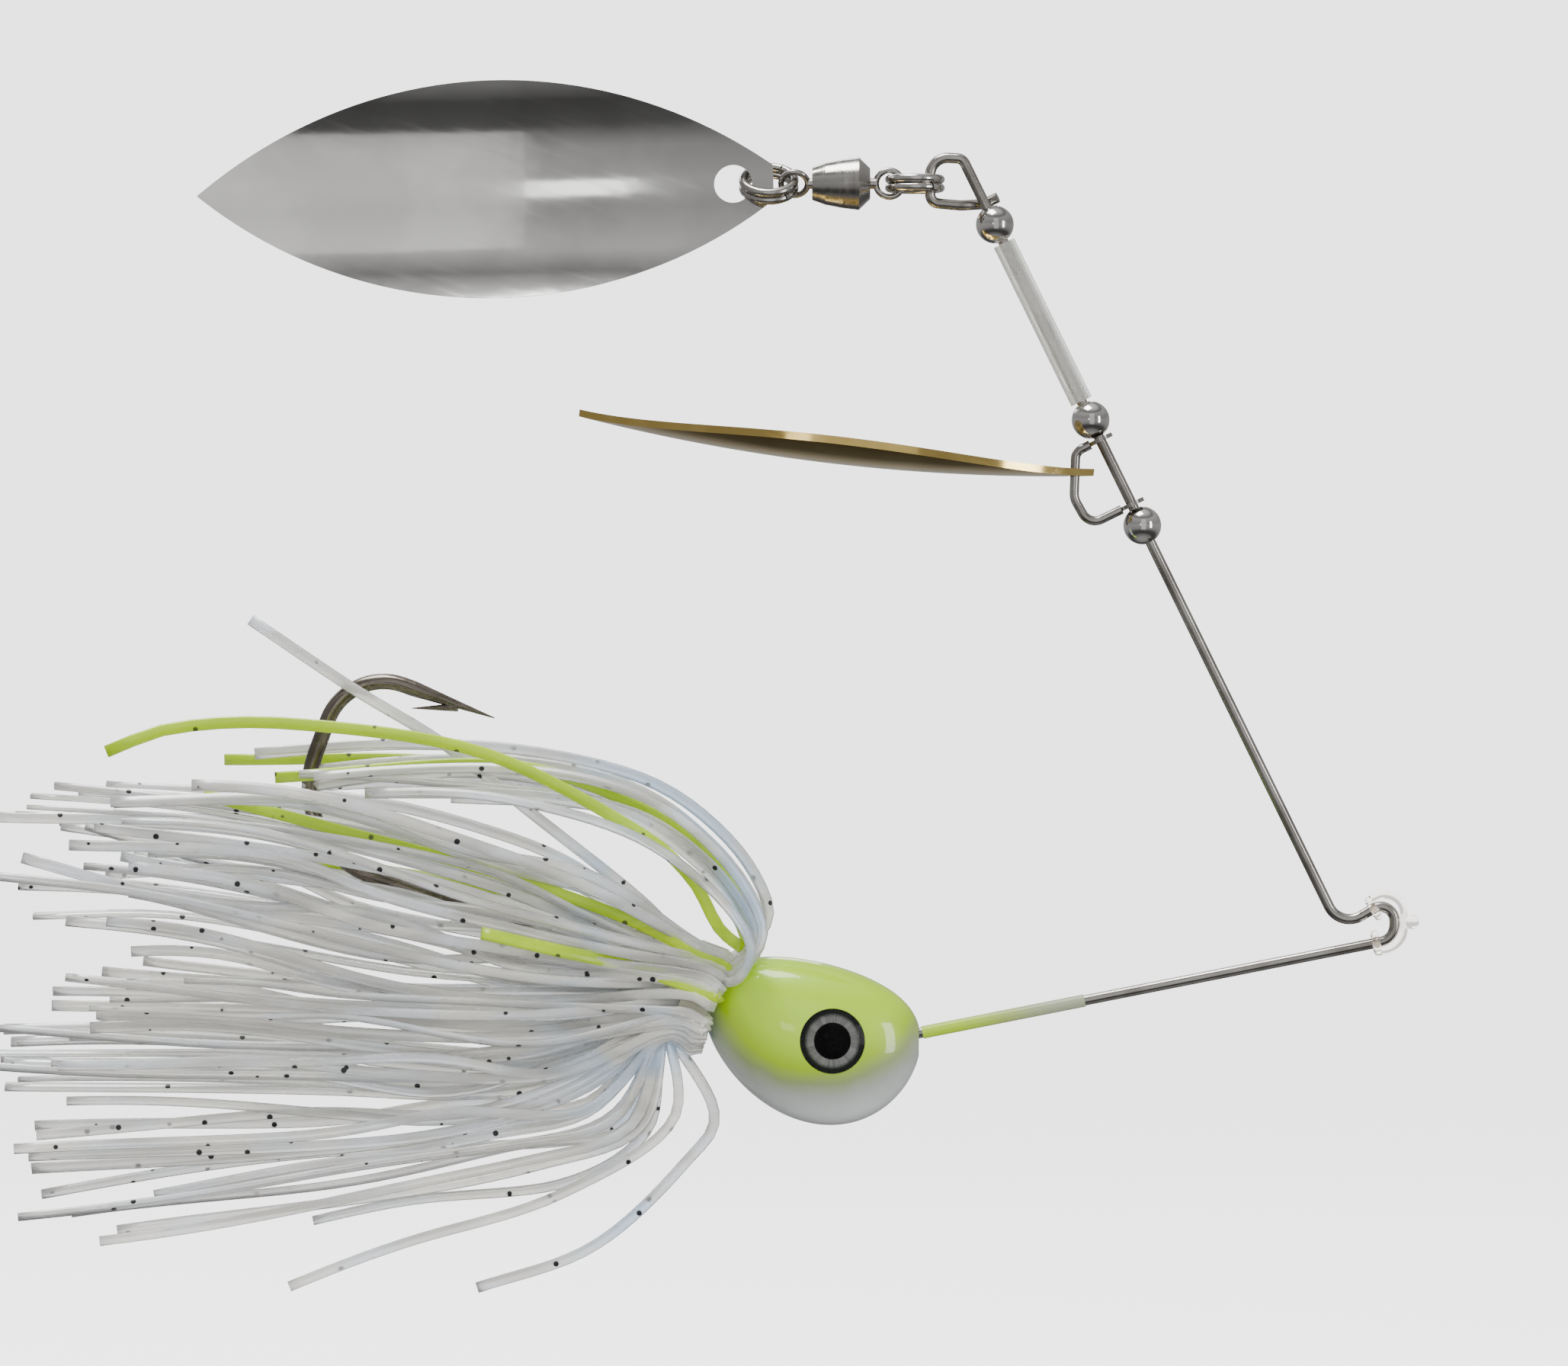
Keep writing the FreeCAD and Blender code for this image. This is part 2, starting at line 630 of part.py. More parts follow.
def willow_blade(name, place):
    """Pointed leaf, its root end at the local origin and its tip along -X, with one hole."""
    side = dim(f"{name}_side_radius")
    length = dim(f"{name}_length")
    inset = side - dim(f"{name}_half_width")
    half_lens = math.sqrt(side ** 2 - inset ** 2)
    if length > 2 * half_lens:
        raise ValueError(f"the {name} blade is longer than its side curves allow")
    widest = half_lens - length
    radius = f"dims.{name}_side_radius"
    leaf = [
        blade_tool(f"{name}_side_near", widest, -inset, radius),
        blade_tool(f"{name}_side_far", widest, inset, radius),
    ]
    heel = blade_tool(
        f"{name}_heel",
        -length * dim("blade_heel_share"),
        0,
        f"dims.{name}_length * dims.blade_heel_share",
    )
    back = blade_face(name, "back", "")
    front = blade_face(name, "front", " - dims.blade_thickness")
    blank = shared(f"{name}_blank", [without(f"{name}_shell", back, front), heel] + leaf)
    setback = dim(f"{name}_hole_setback")
    hole = blade_tool(f"{name}_hole_cutter", -setback, 0, f"dims.{name}_hole / 2")
    blade = without(f"{name}_bored", blank, hole)
    blade.Placement = place
    return blade


def seat_depth(name):
    """How far the blade's middle surface lies below its crown at the hole's root side."""
    bow = dim(f"{name}_bow_radius")
    web = dim(f"{name}_hole_setback") - dim(f"{name}_hole") / 2
    offset = dim(f"{name}_length") / 2 - web
    return bow - math.sqrt(bow ** 2 - offset ** 2) + dim("blade_thickness") / 2


def blade_place(name, hole_at, turn):
    """Placement that sets the blade's hole on a point."""
    local = Vector(-dim(f"{name}_hole_setback"), 0, -seat_depth(name))
    return Placement(hole_at - turn.multVec(local), turn)


def large_blade():
    """Nickel blade, cupped towards -Y."""
    turn = Rotation(SIDEWAYS, dim("big_lean")) * Rotation(AHEAD, -90)
    ring_back = front_eye_x() - 2 * dim("ring_radius")
    hole_edge = ring_back + dim("ring_wire") / 2 + dim("big_slack")
    hole_at = flat(hole_edge - dim("big_hole") / 2, dim("swivel_height"))
    keep(willow_blade("big", blade_place("big", hole_at, turn)), "large_blade")


def small_blade():
    """Gold blade, edge-on to the frame's plane and cupped upwards."""
    turn = Rotation(SIDEWAYS, dim("small_lean")) * Rotation(AHEAD, 180)
    keep(willow_blade("small", blade_place("small", clevis_seat(), turn)), "small_blade")


def clevis_seat():
    """Place on the bow's slanting run where the small blade hangs."""
    shoulder, belly = clevis_corners()[1:3]
    return shoulder + (belly - shoulder) * dim("clevis_seat_share")


# Split rings and swivel.


def draw_coil_section(sketch):
    """Section through a ring's two touching turns: two arcs that meet at a waist."""
    radius = dim("ring_wire") / 2
    half_gap = dim("ring_turn_gap") / 2
    waist = math.acos(half_gap / radius)
    for sign in (1, -1):
        circle = Part.Circle(Vector(dim("ring_radius"), sign * half_gap, 0), UP, radius)
        first = -math.pi / 2 * sign + waist
        sketch.addGeometry(Part.ArcOfCircle(circle, first, first + 2 * math.pi - 2 * waist))
    sketch.addConstraint(Sketcher.Constraint("Coincident", 0, 1, 1, 2))
    sketch.addConstraint(Sketcher.Constraint("Coincident", 0, 2, 1, 1))
    sketch.addConstraint(Sketcher.Constraint("Equal", 0, 1))
    number = sketch.addConstraint(Sketcher.Constraint("Radius", 0, radius))
    sketch.setExpression(f"Constraints[{number}]", "dims.ring_wire / 2")
    for arc, sign in ((0, ""), (1, "-")):
        for way, value, expression in (
            ("DistanceX", dim("ring_radius"), "dims.ring_radius"),
            ("DistanceY", half_gap * (1 - 2 * arc), f"{sign}dims.ring_turn_gap / 2"),
        ):
            number = sketch.addConstraint(Sketcher.Constraint(way, -1, 1, arc, 3, value))
            sketch.setExpression(f"Constraints[{number}]", expression)


def split_ring(name, centre, roll):
    """Two turns of wire side by side, each with an open end."""
    body = new_body(name + "_body", Placement(centre, Rotation(AHEAD, roll)))
    sketch = new_sketch(body, name + "_section", "XZ_Plane")
    draw_coil_section(sketch)
    coil = body.newObject("PartDesign::Revolution", name + "_coil")
    coil.Profile = sketch
    coil.ReferenceAxis = (sketch, ["V_Axis"])
    coil.Angle = 360
    doc.recompute()
    azimuth = dim("ring_slit_azimuth")
    for word, turn, base in (("high", azimuth, 0.0), ("low", -azimuth, -dim("ring_slit_height"))):
        slit = body.newObject("PartDesign::SubtractiveBox", f"{name}_slit_{word}")
        slit.setExpression("Length", "dims.ring_radius + dims.ring_wire")
        slit.setExpression("Width", "dims.ring_slit")
        slit.setExpression("Height", "dims.ring_slit_height")
        slit.Placement = Placement(UP * base, Rotation(UP, turn))
        doc.recompute()
    keep(body, name)


def rear_ring_centre():
    """The rear ring hangs with its front side just behind the end loop's wire."""
    reach = dim("wire_diameter") / 2 + dim("ring_wire") / 2 + dim("ring_rest")
    return flat(dim("loop_x") + reach - dim("ring_radius"), dim("swivel_height"))


def rear_eye_x():
    return rear_ring_centre().x - dim("ring_radius")


def front_eye_x():
    """The front eye stands just clear of the cap."""
    cap_face = dim("barrel_rear_x") - dim("barrel_mouth_at") - dim("cap_length")
    return cap_face - dim("eye_hole") / 2 - dim("eye_wire") - dim("eye_clearance")


def swivel_stem(name, eye_x, head_x, hole_axis):
    """Wire eye, stem and the head that the balls bear on."""
    eye_at = flat(eye_x, dim("swivel_height"))
    inward = Vector(math.copysign(1, head_x - eye_x), 0, 0)
    eye = primitive(
        "Part::Torus",
        name + "_eye",
        Placement(eye_at, facing(hole_axis)),
        Radius1="dims.eye_hole / 2 + dims.eye_wire / 2",
        Radius2="dims.eye_wire / 2",
    )
    stem_start = eye_at + inward * (dim("eye_hole") / 2 + dim("eye_wire") / 2)
    stem = primitive(
        "Part::Cylinder",
        name + "_stem",
        Placement(stem_start, facing(inward)),
        Radius="dims.stem_diameter / 2",
    )
    stem.Height = abs(head_x - stem_start.x)
    head_disc = primitive(
        "Part::Cylinder",
        name + "_head",
        Placement(flat(head_x, dim("swivel_height")), facing(inward)),
        Radius="dims.stem_head / 2",
        Height="dims.stem_head_thickness",
    )
    keep(joined(name + "_fused", [eye, stem, head_disc]), name)


def ball_race(name, race_x):
    """Ring of balls between the barrel's wall and a stem's head."""
    count = 8
    balls = []
    for number in range(count):
        angle = 2 * math.pi * number / count
        offset = Vector(0, math.cos(angle), math.sin(angle)) * dim("ball_circle")
        balls.append(primitive(
            "Part::Sphere",
            f"{name}_{number}",
            Placement(flat(race_x, dim("swivel_height")) + offset, Rotation()),
            Radius="dims.ball_diameter / 2",
        ))
    keep(grouped(name + "_set", balls), name)


def turned_piece(name, label, rear_x, corners):
    """Sub-part turned about the swivel's axis, drawn forward from its rear face."""
    place = Placement(flat(rear_x, dim("swivel_height")), Rotation(UP, 180))
    body = new_body(name + "_body", place)
    sketch = new_sketch(body, name + "_outline", "XY_Plane")
    draw_outline(sketch, corners)
    turned = body.newObject("PartDesign::Revolution", name + "_turned")
    turned.Profile = sketch
    turned.ReferenceAxis = (sketch, ["H_Axis"])
    turned.Angle = 360
    keep(body, label)


def swivel():
    """Barrel and cap around two stems, each on its own ring of balls."""
    turned_piece("barrel", "swivel_barrel", dim("barrel_rear_x"), (
        ("zero", "barrel_end"),
        ("barrel_wide_at", "barrel_wide"),
        ("barrel_full_at", "barrel_full"),
        ("barrel_mouth_at", "barrel_mouth"),
        ("barrel_mouth_at", "barrel_cavity"),
        ("barrel_wall_at", "barrel_cavity"),
        ("barrel_wall_at", "stem_bore_radius"),
        ("zero", "stem_bore_radius"),
    ))
    turned_piece("cap", "swivel_cap", dim("barrel_rear_x") - dim("barrel_mouth_at"), (
        ("zero", "barrel_mouth"),
        ("cap_length", "cap_end"),
        ("cap_length", "stem_bore_radius"),
        ("zero", "stem_bore_radius"),
    ))
    wall = dim("barrel_rear_x") - dim("barrel_wall_at")
    mouth = dim("barrel_rear_x") - dim("barrel_mouth_at")
    race = dim("ball_diameter") / 2 + dim("ball_play")
    roll = Rotation(AHEAD, dim("front_ring_roll"))
    ball_race("swivel_rear_balls", wall - race)
    ball_race("swivel_front_balls", mouth + race)
    swivel_stem("swivel_rear_stem", rear_eye_x(), wall - 2 * race, SIDEWAYS)
    swivel_stem("swivel_front_stem", front_eye_x(), mouth + 2 * race, roll.multVec(SIDEWAYS))


# Skirt and tie-bend keeper.


def skirt_band():
    """Rubber band that grips the strands on the collar."""
    start = dim("band_at") - dim("band_width") / 2
    body = new_body("band_body", Placement(on_hook(start, 0), facing(HOOK_BACK)))
    sketch = new_sketch(body, "band_outline", "XY_Plane")
    for cell in ("band_outer", "band_inner"):
        circle = sketch.addGeometry(Part.Circle(Vector(0, 0, 0), UP, dim(cell)))
        sketch.addConstraint(Sketcher.Constraint("Coincident", circle, 3, -1, 1))
        number = sketch.addConstraint(Sketcher.Constraint("Radius", circle, dim(cell)))
        sketch.setExpression(f"Constraints[{number}]", f"dims.{cell}")
    pad = body.newObject("PartDesign::Pad", "band_pad")
    pad.Profile = sketch
    pad.setExpression("Length", "dims.band_width")
    keep(body, "skirt_band")


def around_hook(back, radius, azimuth):
    """Point back from the band's middle, at a radius from the shank, azimuth from above."""
    along = dim("band_at") + back
    return on_hook(along, radius * math.cos(azimuth), radius * math.sin(azimuth))


def trailing_tip(azimuth, length):
    """Tip of a strand that trails from the band and sags below the shank's line."""
    heading = math.radians(dim("trail_heading") - dim("trail_fan") * math.cos(azimuth))
    reach = dim("trail_side") + dim("trail_side_more") * abs(math.sin(azimuth))
    side = SIDEWAYS * math.copysign(reach, math.sin(azimuth))
    neck = on_hook(dim("band_at"), 0)
    return neck + flat(math.cos(heading), math.sin(heading)) * length + side


def trailing_strand(name, azimuth):
    """Strand from under the band, back along the shank and out to its tip."""
    start = around_hook(-0.6, dim("strand_ring_inner"), azimuth)
    leave = around_hook(5.5, dim("strand_ring_inner") + 0.75, azimuth)
    shorter = dim("trail_shorter") * max(0.0, 0.3 - math.cos(azimuth))
    tip = trailing_tip(azimuth, dim("trail_length") - shorter)
    bulge = around_hook(14.0, 6.5, azimuth)
    middle = leave * 0.3 + tip * 0.3 + bulge * 0.4
    points = [start, leave, middle, tip]
    return bent_wire(name, points, easy_radii(points), "strand_diameter")


def umbrella_strand(name, azimuth):
    """Strand that flares forward over the head's shoulder and sweeps back."""
    lean = 0.75 * azimuth
    reach = dim("arch_side") + dim("arch_side_more") * abs(math.sin(azimuth))
    side = math.copysign(reach, azimuth)
    points = [around_hook(back, radius, azimuth) for back, radius in ARCH_NECK]
    for back, height, least in ARCH_SWEEP:
        points.append(on_hook(dim("band_at") + back, height * math.cos(lean) + least, side))
    return bent_wire(name, points, easy_radii(points), "strand_diameter")


def skirt():
    """Rubber strands in two rings under the band, grouped by place and colour."""
    count = 16
    azimuths = [2 * math.pi * (number + 0.5) / count for number in range(count)]
    trailing = {"skirt_trailing_upper": [], "skirt_trailing_side": [], "skirt_trailing_lower": []}
    for number, azimuth in enumerate(azimuths):
        height = math.cos(azimuth)
        place = "upper" if height > 0.6 else "lower" if height < -0.6 else "side"
        group = f"skirt_trailing_{place}"
        trailing[group].append(trailing_strand(f"trailing_{number}", azimuth))
    for label, members in trailing.items():
        keep(grouped(label + "_set", members), label)
    for label, angles in (
        ("skirt_umbrella_pearl", (-62, -38, 38, 62)),
        ("skirt_umbrella_chartreuse", (-14, 14)),
    ):
        members = [umbrella_strand(f"{label}_{index}", math.radians(angle))
                   for index, angle in enumerate(angles)]
        keep(grouped(label + "_set", members), label)


def line_keeper_band():
    """Clear elastic round the outside of the tie bend, with its knot."""
    reach = dim("wire_diameter") / 2 + dim("keeper_diameter") / 2 + dim("keeper_play")
    fall = (TROUGH - TIE_HIGH).normalize()
    low = TIE_LOW + LOWER_BACK * dim("keeper_low")
    high = TIE_HIGH + fall * dim("keeper_high")
    quarter = Rotation(SIDEWAYS, 90)
    front = dim("tie_reach") + reach
    points = [
        low + quarter.multVec(LOWER_BACK * -1) * reach,
        flat(front, -dim("tie_drop") - reach * 0.9),
        flat(front, dim("tie_rise") + reach * 1.3),
        high + quarter.multVec(fall) * reach,
    ]
    strand = bent_wire("keeper_strand", points, KEEPER_BENDS, "keeper_diameter")
    knot = primitive(
        "Part::Sphere",
        "keeper_knot_ball",
        Placement(flat(front + dim("keeper_knot") * 0.55, 0), Rotation()),
        Radius="dims.keeper_knot / 2",
    )
    wraps = []
    for name, centre, axis in (("low", low, LOWER_BACK), ("high", high, fall)):
        wrap = primitive(
            "Part::Torus",
            f"keeper_wrap_{name}",
            Placement(centre, facing(axis)),
            Radius1="(dims.wire_diameter + dims.keeper_diameter) / 2 + dims.keeper_play",
            Radius2="dims.keeper_diameter / 2",
        )
        wraps.append(wrap)
    keep(joined("keeper_fused", [strand, knot] + wraps), "line_keeper_band")


def piece_named(label):
    return next(piece for piece in pieces if piece.Label == label)


def check_pieces():
    for item in doc.Objects:
        if "Invalid" in item.State or "Error" in item.State:
            raise RuntimeError(f"{item.Label} failed: {item.State}")
    for piece in pieces:
        if piece.Shape.isNull() or not piece.Shape.isValid() or not piece.Shape.Solids:
            raise RuntimeError(f"{piece.Label} has no valid solid")


def export_pieces():
    os.makedirs("parts", exist_ok=True)
    for piece in pieces:
        piece.Shape.exportStep(f"parts/{piece.Label}.step")


def build():
    wire_frame()
    hook()
    head()
    fish_eye("left", -1)
    fish_eye("right", 1)
    paint_sleeve()
    bead("bead_bottom", "bead_low")
    bead("bead_middle", "bead_mid")
    bead("bead_top", "bead_high")
    spacer_tube()
    clevis()
    small_blade()
    split_ring("rear_split_ring", rear_ring_centre(), 0)
    swivel()
    front_centre = flat(front_eye_x() - dim("ring_radius"), dim("swivel_height"))
    split_ring("front_split_ring", front_centre, dim("front_ring_roll"))
    large_blade()
    skirt_band()
    skirt()
    line_keeper_band()
    doc.recompute()
    check_pieces()
    export_pieces()
    print(f"{len(pieces)} sub-parts written")


build()
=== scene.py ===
import math
import random

import bpy
import numpy as np
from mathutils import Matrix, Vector


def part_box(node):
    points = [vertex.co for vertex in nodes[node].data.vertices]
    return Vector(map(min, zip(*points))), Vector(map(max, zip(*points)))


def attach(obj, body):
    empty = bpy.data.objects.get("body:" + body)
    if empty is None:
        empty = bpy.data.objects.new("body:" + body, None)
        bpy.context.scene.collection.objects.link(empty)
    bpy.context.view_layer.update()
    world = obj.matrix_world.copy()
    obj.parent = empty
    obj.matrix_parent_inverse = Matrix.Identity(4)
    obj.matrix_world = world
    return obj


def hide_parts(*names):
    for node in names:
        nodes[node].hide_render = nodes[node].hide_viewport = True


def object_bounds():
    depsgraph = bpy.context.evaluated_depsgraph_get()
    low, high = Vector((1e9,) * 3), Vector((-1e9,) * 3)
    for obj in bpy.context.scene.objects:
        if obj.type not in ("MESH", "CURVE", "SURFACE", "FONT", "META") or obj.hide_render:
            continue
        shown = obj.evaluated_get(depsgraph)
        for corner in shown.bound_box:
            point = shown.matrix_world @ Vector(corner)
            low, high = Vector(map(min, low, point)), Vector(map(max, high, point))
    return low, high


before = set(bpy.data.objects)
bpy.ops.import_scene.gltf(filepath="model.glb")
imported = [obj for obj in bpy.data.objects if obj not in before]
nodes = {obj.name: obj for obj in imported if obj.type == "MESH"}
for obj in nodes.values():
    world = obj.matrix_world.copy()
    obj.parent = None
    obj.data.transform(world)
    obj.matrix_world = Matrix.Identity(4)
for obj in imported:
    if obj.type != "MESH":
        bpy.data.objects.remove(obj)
cad_box = [list(corner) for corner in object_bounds()]
MM = 0.001
random.seed(11)


# Shader nodes.

def add_node(tree, kind, inputs, **settings):
    """New node whose inputs are sockets to link or plain values."""
    made = tree.nodes.new(kind)
    for setting, value in settings.items():
        setattr(made, setting, value)
    for key, value in inputs.items():
        if isinstance(value, bpy.types.NodeSocket):
            tree.links.new(value, made.inputs[key])
        else:
            made.inputs[key].default_value = value
    return made


def add_ramp(tree, value, stops):
    """Colour ramp through (position, colour) stops."""
    made = add_node(tree, "ShaderNodeValToRGB", {"Fac": value})
    elements = made.color_ramp.elements
    while len(elements) < len(stops):
        elements.new(0.5)
    for element, (position, colour) in zip(elements, stops):
        element.position = position
        element.color = (*colour, 1.0)
    return made.outputs["Color"]


class Look:
    """A Principled material and the nodes that feed it."""

    def __init__(self, name, sockets):
        self.material = bpy.data.materials.new(name)
        self.material.use_nodes = True
        self.tree = self.material.node_tree
        self.shader = self.tree.nodes["Principled BSDF"]
        for socket, value in sockets.items():
            self.shader.inputs[socket].default_value = value
        self.place = self.node("ShaderNodeTexCoord", {}).outputs["Object"]

    def node(self, kind, inputs, **settings):
        return add_node(self.tree, kind, inputs, **settings)

    def feed(self, socket, value):
        self.tree.links.new(value, self.shader.inputs[socket])

    def maths(self, operation, first, second=0.0):
        inputs = {0: first, 1: second}
        return self.node("ShaderNodeMath", inputs, operation=operation).outputs[0]

    def vector_maths(self, operation, first, second=(0.0, 0.0, 0.0)):
        """A number for a dot product or a length, and a vector for the rest."""
        inputs = {0: first, 1: second}
        made = self.node("ShaderNodeVectorMath", inputs, operation=operation)
        return made.outputs["Value" if operation in ("DOT_PRODUCT", "LENGTH") else "Vector"]

    def forward(self):
        """Place along the lure, in millimetres."""
        return self.vector_maths("DOT_PRODUCT", self.place, (1 / MM, 0.0, 0.0))

    def spoke(self, x, z):
        """Vector in the side view from the point x, z. All of it is in millimetres."""
        arm = self.vector_maths("SUBTRACT", self.place, (x * MM, 0.0, z * MM))
        return self.vector_maths("MULTIPLY", arm, (1 / MM, 0.0, 1 / MM))

    def stretched(self, stretch, turn=(0.0, 0.0, 0.0)):
        """Object coordinates turned and scaled by axis."""
        inputs = {"Vector": self.place, "Scale": stretch, "Rotation": turn}
        return self.node("ShaderNodeMapping", inputs, vector_type="TEXTURE").outputs[0]

    def noise(self, scale, detail=3.0, place=None):
        inputs = {"Vector": place or self.place, "Scale": scale, "Detail": detail}
        return self.node("ShaderNodeTexNoise", inputs).outputs["Fac"]

    def drift(self, scale, size):
        """Noise about zero, for a border that wanders."""
        return self.maths("MULTIPLY", self.maths("SUBTRACT", self.noise(scale), 0.5), size)

    def spots(self, scale):
        """Distance to the nearest of many scattered points."""
        inputs = {"Vector": self.place, "Scale": scale}
        return self.node("ShaderNodeTexVoronoi", inputs).outputs["Distance"]

    def span(self, value, low, high, to_low=0.0, to_high=1.0):
        """Maps low to high on to a new range, with soft ends."""
        inputs = {"Value": value, "From Min": low, "From Max": high,
                  "To Min": to_low, "To Max": to_high}
        made = self.node("ShaderNodeMapRange", inputs, interpolation_type="SMOOTHSTEP")
        return made.outputs["Result"]

    def ramp(self, value, stops):
        return add_ramp(self.tree, value, stops)

    def mixed(self, factor, first, second):
        """Mix of two colours, each a socket or three numbers."""
        made = self.node("ShaderNodeMix", {"Factor": factor}, data_type="RGBA")
        for socket, colour in ((made.inputs[6], first), (made.inputs[7], second)):
            if isinstance(colour, bpy.types.NodeSocket):
                self.tree.links.new(colour, socket)
            else:
                socket.default_value = (*colour, 1.0)
        return made.outputs[2]

    def bump(self, height, depth, strength=1.0):
        """Relief of a depth in metres."""
        inputs = {"Height": height, "Distance": depth, "Strength": strength}
        self.feed("Normal", self.node("ShaderNodeBump", inputs).outputs["Normal"])


# Metals.

# Lean of the wire's upper arm from upright, for the grain drawn along it.
ARM_LEAN = math.radians(26.1)


def metal(name, bright, dull, smooth, rough, grain=900.0, stretch=(1.0, 1.0, 1.0), turn=0.0,
          depth=0.000004):
    """Metal with cloudy tarnish, fine drawn grain and uneven polish."""
    look = Look(name, {"Metallic": 1.0})
    cloud = look.noise(260.0, 4.0)
    lines = look.noise(grain, 2.0, look.stretched(stretch, (0.0, turn, 0.0)))
    look.feed("Base Color", look.mixed(look.span(cloud, 0.35, 0.68), bright, dull))
    worn_lines = look.maths("MULTIPLY", lines, 0.6)
    wear = look.maths("ADD", worn_lines, look.maths("MULTIPLY", cloud, 0.4))
    look.feed("Roughness", look.span(wear, 0.3, 0.7, smooth, rough))
    look.bump(lines, depth)
    return look.material


def polished_blade(name, bright, dull, smooth, rough):
    """Plated blade: near mirror, with hairline scratches and a slight ripple."""
    look = Look(name, {"Metallic": 1.0})
    cloud = look.noise(120.0)
    hairlines = look.noise(1500.0, 4.0, look.stretched((14.0, 1.0, 1.0), (0.0, 0.35, 0.0)))
    ripple = look.noise(170.0, 2.0)
    look.feed("Base Color", look.mixed(look.span(cloud, 0.4, 0.62), bright, dull))
    look.feed("Roughness", look.span(hairlines, 0.42, 0.7, smooth, rough))
    height = look.maths("ADD", look.maths("MULTIPLY", hairlines, 0.01), ripple)
    look.bump(height, 0.00005, 0.5)
    return look.material


# Paint and eyes. The places and radii named here are in millimetres.

# Chartreuse lies round a point on the head's back. It blends into pearl over the last
# stretch before its full reach, through grey and olive stops darker than either paint:
# these are painted shade.
PAINT_MIDDLE = (-47.6, -3.4)
PAINT_REACH = 14.6
PAINT_BLEND = 10.0
PAINT_AND_SHADE_STOPS = (
    (0.0, (0.93, 0.94, 0.94)),
    (0.18, (0.86, 0.89, 0.89)),
    (0.33, (0.56, 0.61, 0.55)),
    (0.45, (0.38, 0.47, 0.20)),
    (0.57, (0.48, 0.76, 0.0)),
    (0.75, (0.58, 0.96, 0.0)),
)
SLEEVE_STOPS = (
    (0.15, (0.60, 0.92, 0.01)),
    (0.5, (0.52, 0.66, 0.16)),
    (0.85, (0.50, 0.56, 0.36)),
)
IRIS_STOPS = (
    (0.25, (0.34, 0.35, 0.34)),
    (0.5, (0.60, 0.61, 0.58)),
    (0.75, (0.90, 0.91, 0.88)),
)
# Radii between which the pupil ends, and between which the dark rim starts.
PUPIL_EDGE = (1.5, 1.6)
RIM_EDGE = (1.95, 2.4)


def painted_head():
    """Chartreuse back over a pearl belly, with a band of painted grey-green shade between, under
    clear coat.
    """
    look = Look("paint_chartreuse_pearl_and_shade", {
        "Roughness": 0.34, "Coat Weight": 1.0, "Coat Roughness": 0.04,
        "Subsurface Weight": 0.05, "Subsurface Scale": 0.0005,
    })
    reach = look.vector_maths("LENGTH", look.spoke(*PAINT_MIDDLE))
    reach = look.maths("ADD", reach, look.drift(420.0, 0.8))
    inside = look.maths("SUBTRACT", PAINT_REACH, reach)
    # The ramp's grey and olive stops paint shade between the chartreuse and the pearl.
    paint = look.ramp(look.maths("MULTIPLY", inside, 1 / PAINT_BLEND), PAINT_AND_SHADE_STOPS)
    mica = look.maths("MULTIPLY", look.span(look.spots(5200.0), 0.0, 0.22, 1.0, 0.0), 0.16)
    look.feed("Base Color", look.mixed(mica, paint, (1.0, 1.0, 0.9)))
    look.bump(look.noise(900.0, 2.0), 0.00003, 0.35)
    return look.material


def sleeve_paint():
    """Chartreuse overspray on the wire that fades to pale grey-green away from the head."""
    look = Look("wire_overspray", {"Roughness": 0.38, "Coat Weight": 0.6, "Coat Roughness": 0.12})
    low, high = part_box("wire_paint_sleeve")
    reach = look.maths("ADD", look.forward(), look.drift(700.0, 3.5))
    fade = look.span(reach, low.x / MM, high.x / MM)
    look.feed("Base Color", look.ramp(fade, SLEEVE_STOPS))
    look.bump(look.noise(1500.0), 0.00003, 0.6)
    return look.material


def eye_foil():
    """Printed foil: silver iris with fine rays, a black pupil and a dark rim."""
    look = Look("eye_foil_print", {"Specular IOR Level": 0.0})
    low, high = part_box("eye_foil_left")
    middle = (low + high) / 2 / MM
    spoke = look.spoke(middle.x, middle.z)
    reach = look.vector_maths("LENGTH", spoke)
    rays = look.noise(4.0, 5.0, look.vector_maths("NORMALIZE", spoke))
    rim = look.span(reach, *RIM_EDGE)
    ringed = look.mixed(rim, look.ramp(rays, IRIS_STOPS), (0.05, 0.055, 0.05))
    pupil = look.span(reach, *PUPIL_EDGE, 1.0, 0.0)
    look.feed("Base Color", look.mixed(pupil, ringed, (0.004, 0.004, 0.005)))
    look.feed("Metallic", look.span(reach, *PUPIL_EDGE, 0.0, 0.4))
    look.feed("Roughness", look.span(rays, 0.3, 0.7, 0.16, 0.38))
    look.bump(rays, 0.00004, 0.5)
    return look.material


def eye_resin():
    """Clear dome: a thin dark veil with a sharp glaze and a few tiny bubbles."""
    look = Look("eye_resin", {"Base Color": (0.004, 0.004, 0.004, 1.0), "IOR": 1.28})
    look.feed("Alpha", look.span(look.spots(900.0), 0.02, 0.06, 0.5, 0.25))
    look.feed("Roughness", look.span(look.noise(300.0, 2.0), 0.3, 0.7, 0.01, 0.05))
    return look.material


# Plastic, rubber and silicone.

def clear_plastic(name, colour, roughness, ior, share=1.0):
    """Clear plastic with a faint cloudiness, of which a share lets light through."""
    look = Look(name, {"Transmission Weight": share, "IOR": ior, "Base Color": (*colour, 1.0)})
    cloud = look.noise(600.0)
    look.feed("Roughness", look.span(cloud, 0.3, 0.7, roughness * 0.5, roughness * 1.5))
    look.bump(cloud, 0.00001)
    return look.material


def band_rubber():
    """Dull amber rubber with a fine grain."""
    look = Look("band_rubber_amber", {
        "Roughness": 0.45, "Subsurface Weight": 0.25, "Subsurface Scale": 0.0008,
    })
    cloud = look.noise(500.0, 4.0)
    look.feed("Base Color", look.mixed(cloud, (0.48, 0.47, 0.36), (0.34, 0.34, 0.25)))
    look.bump(look.noise(2500.0), 0.00002, 0.6)
    return look.material
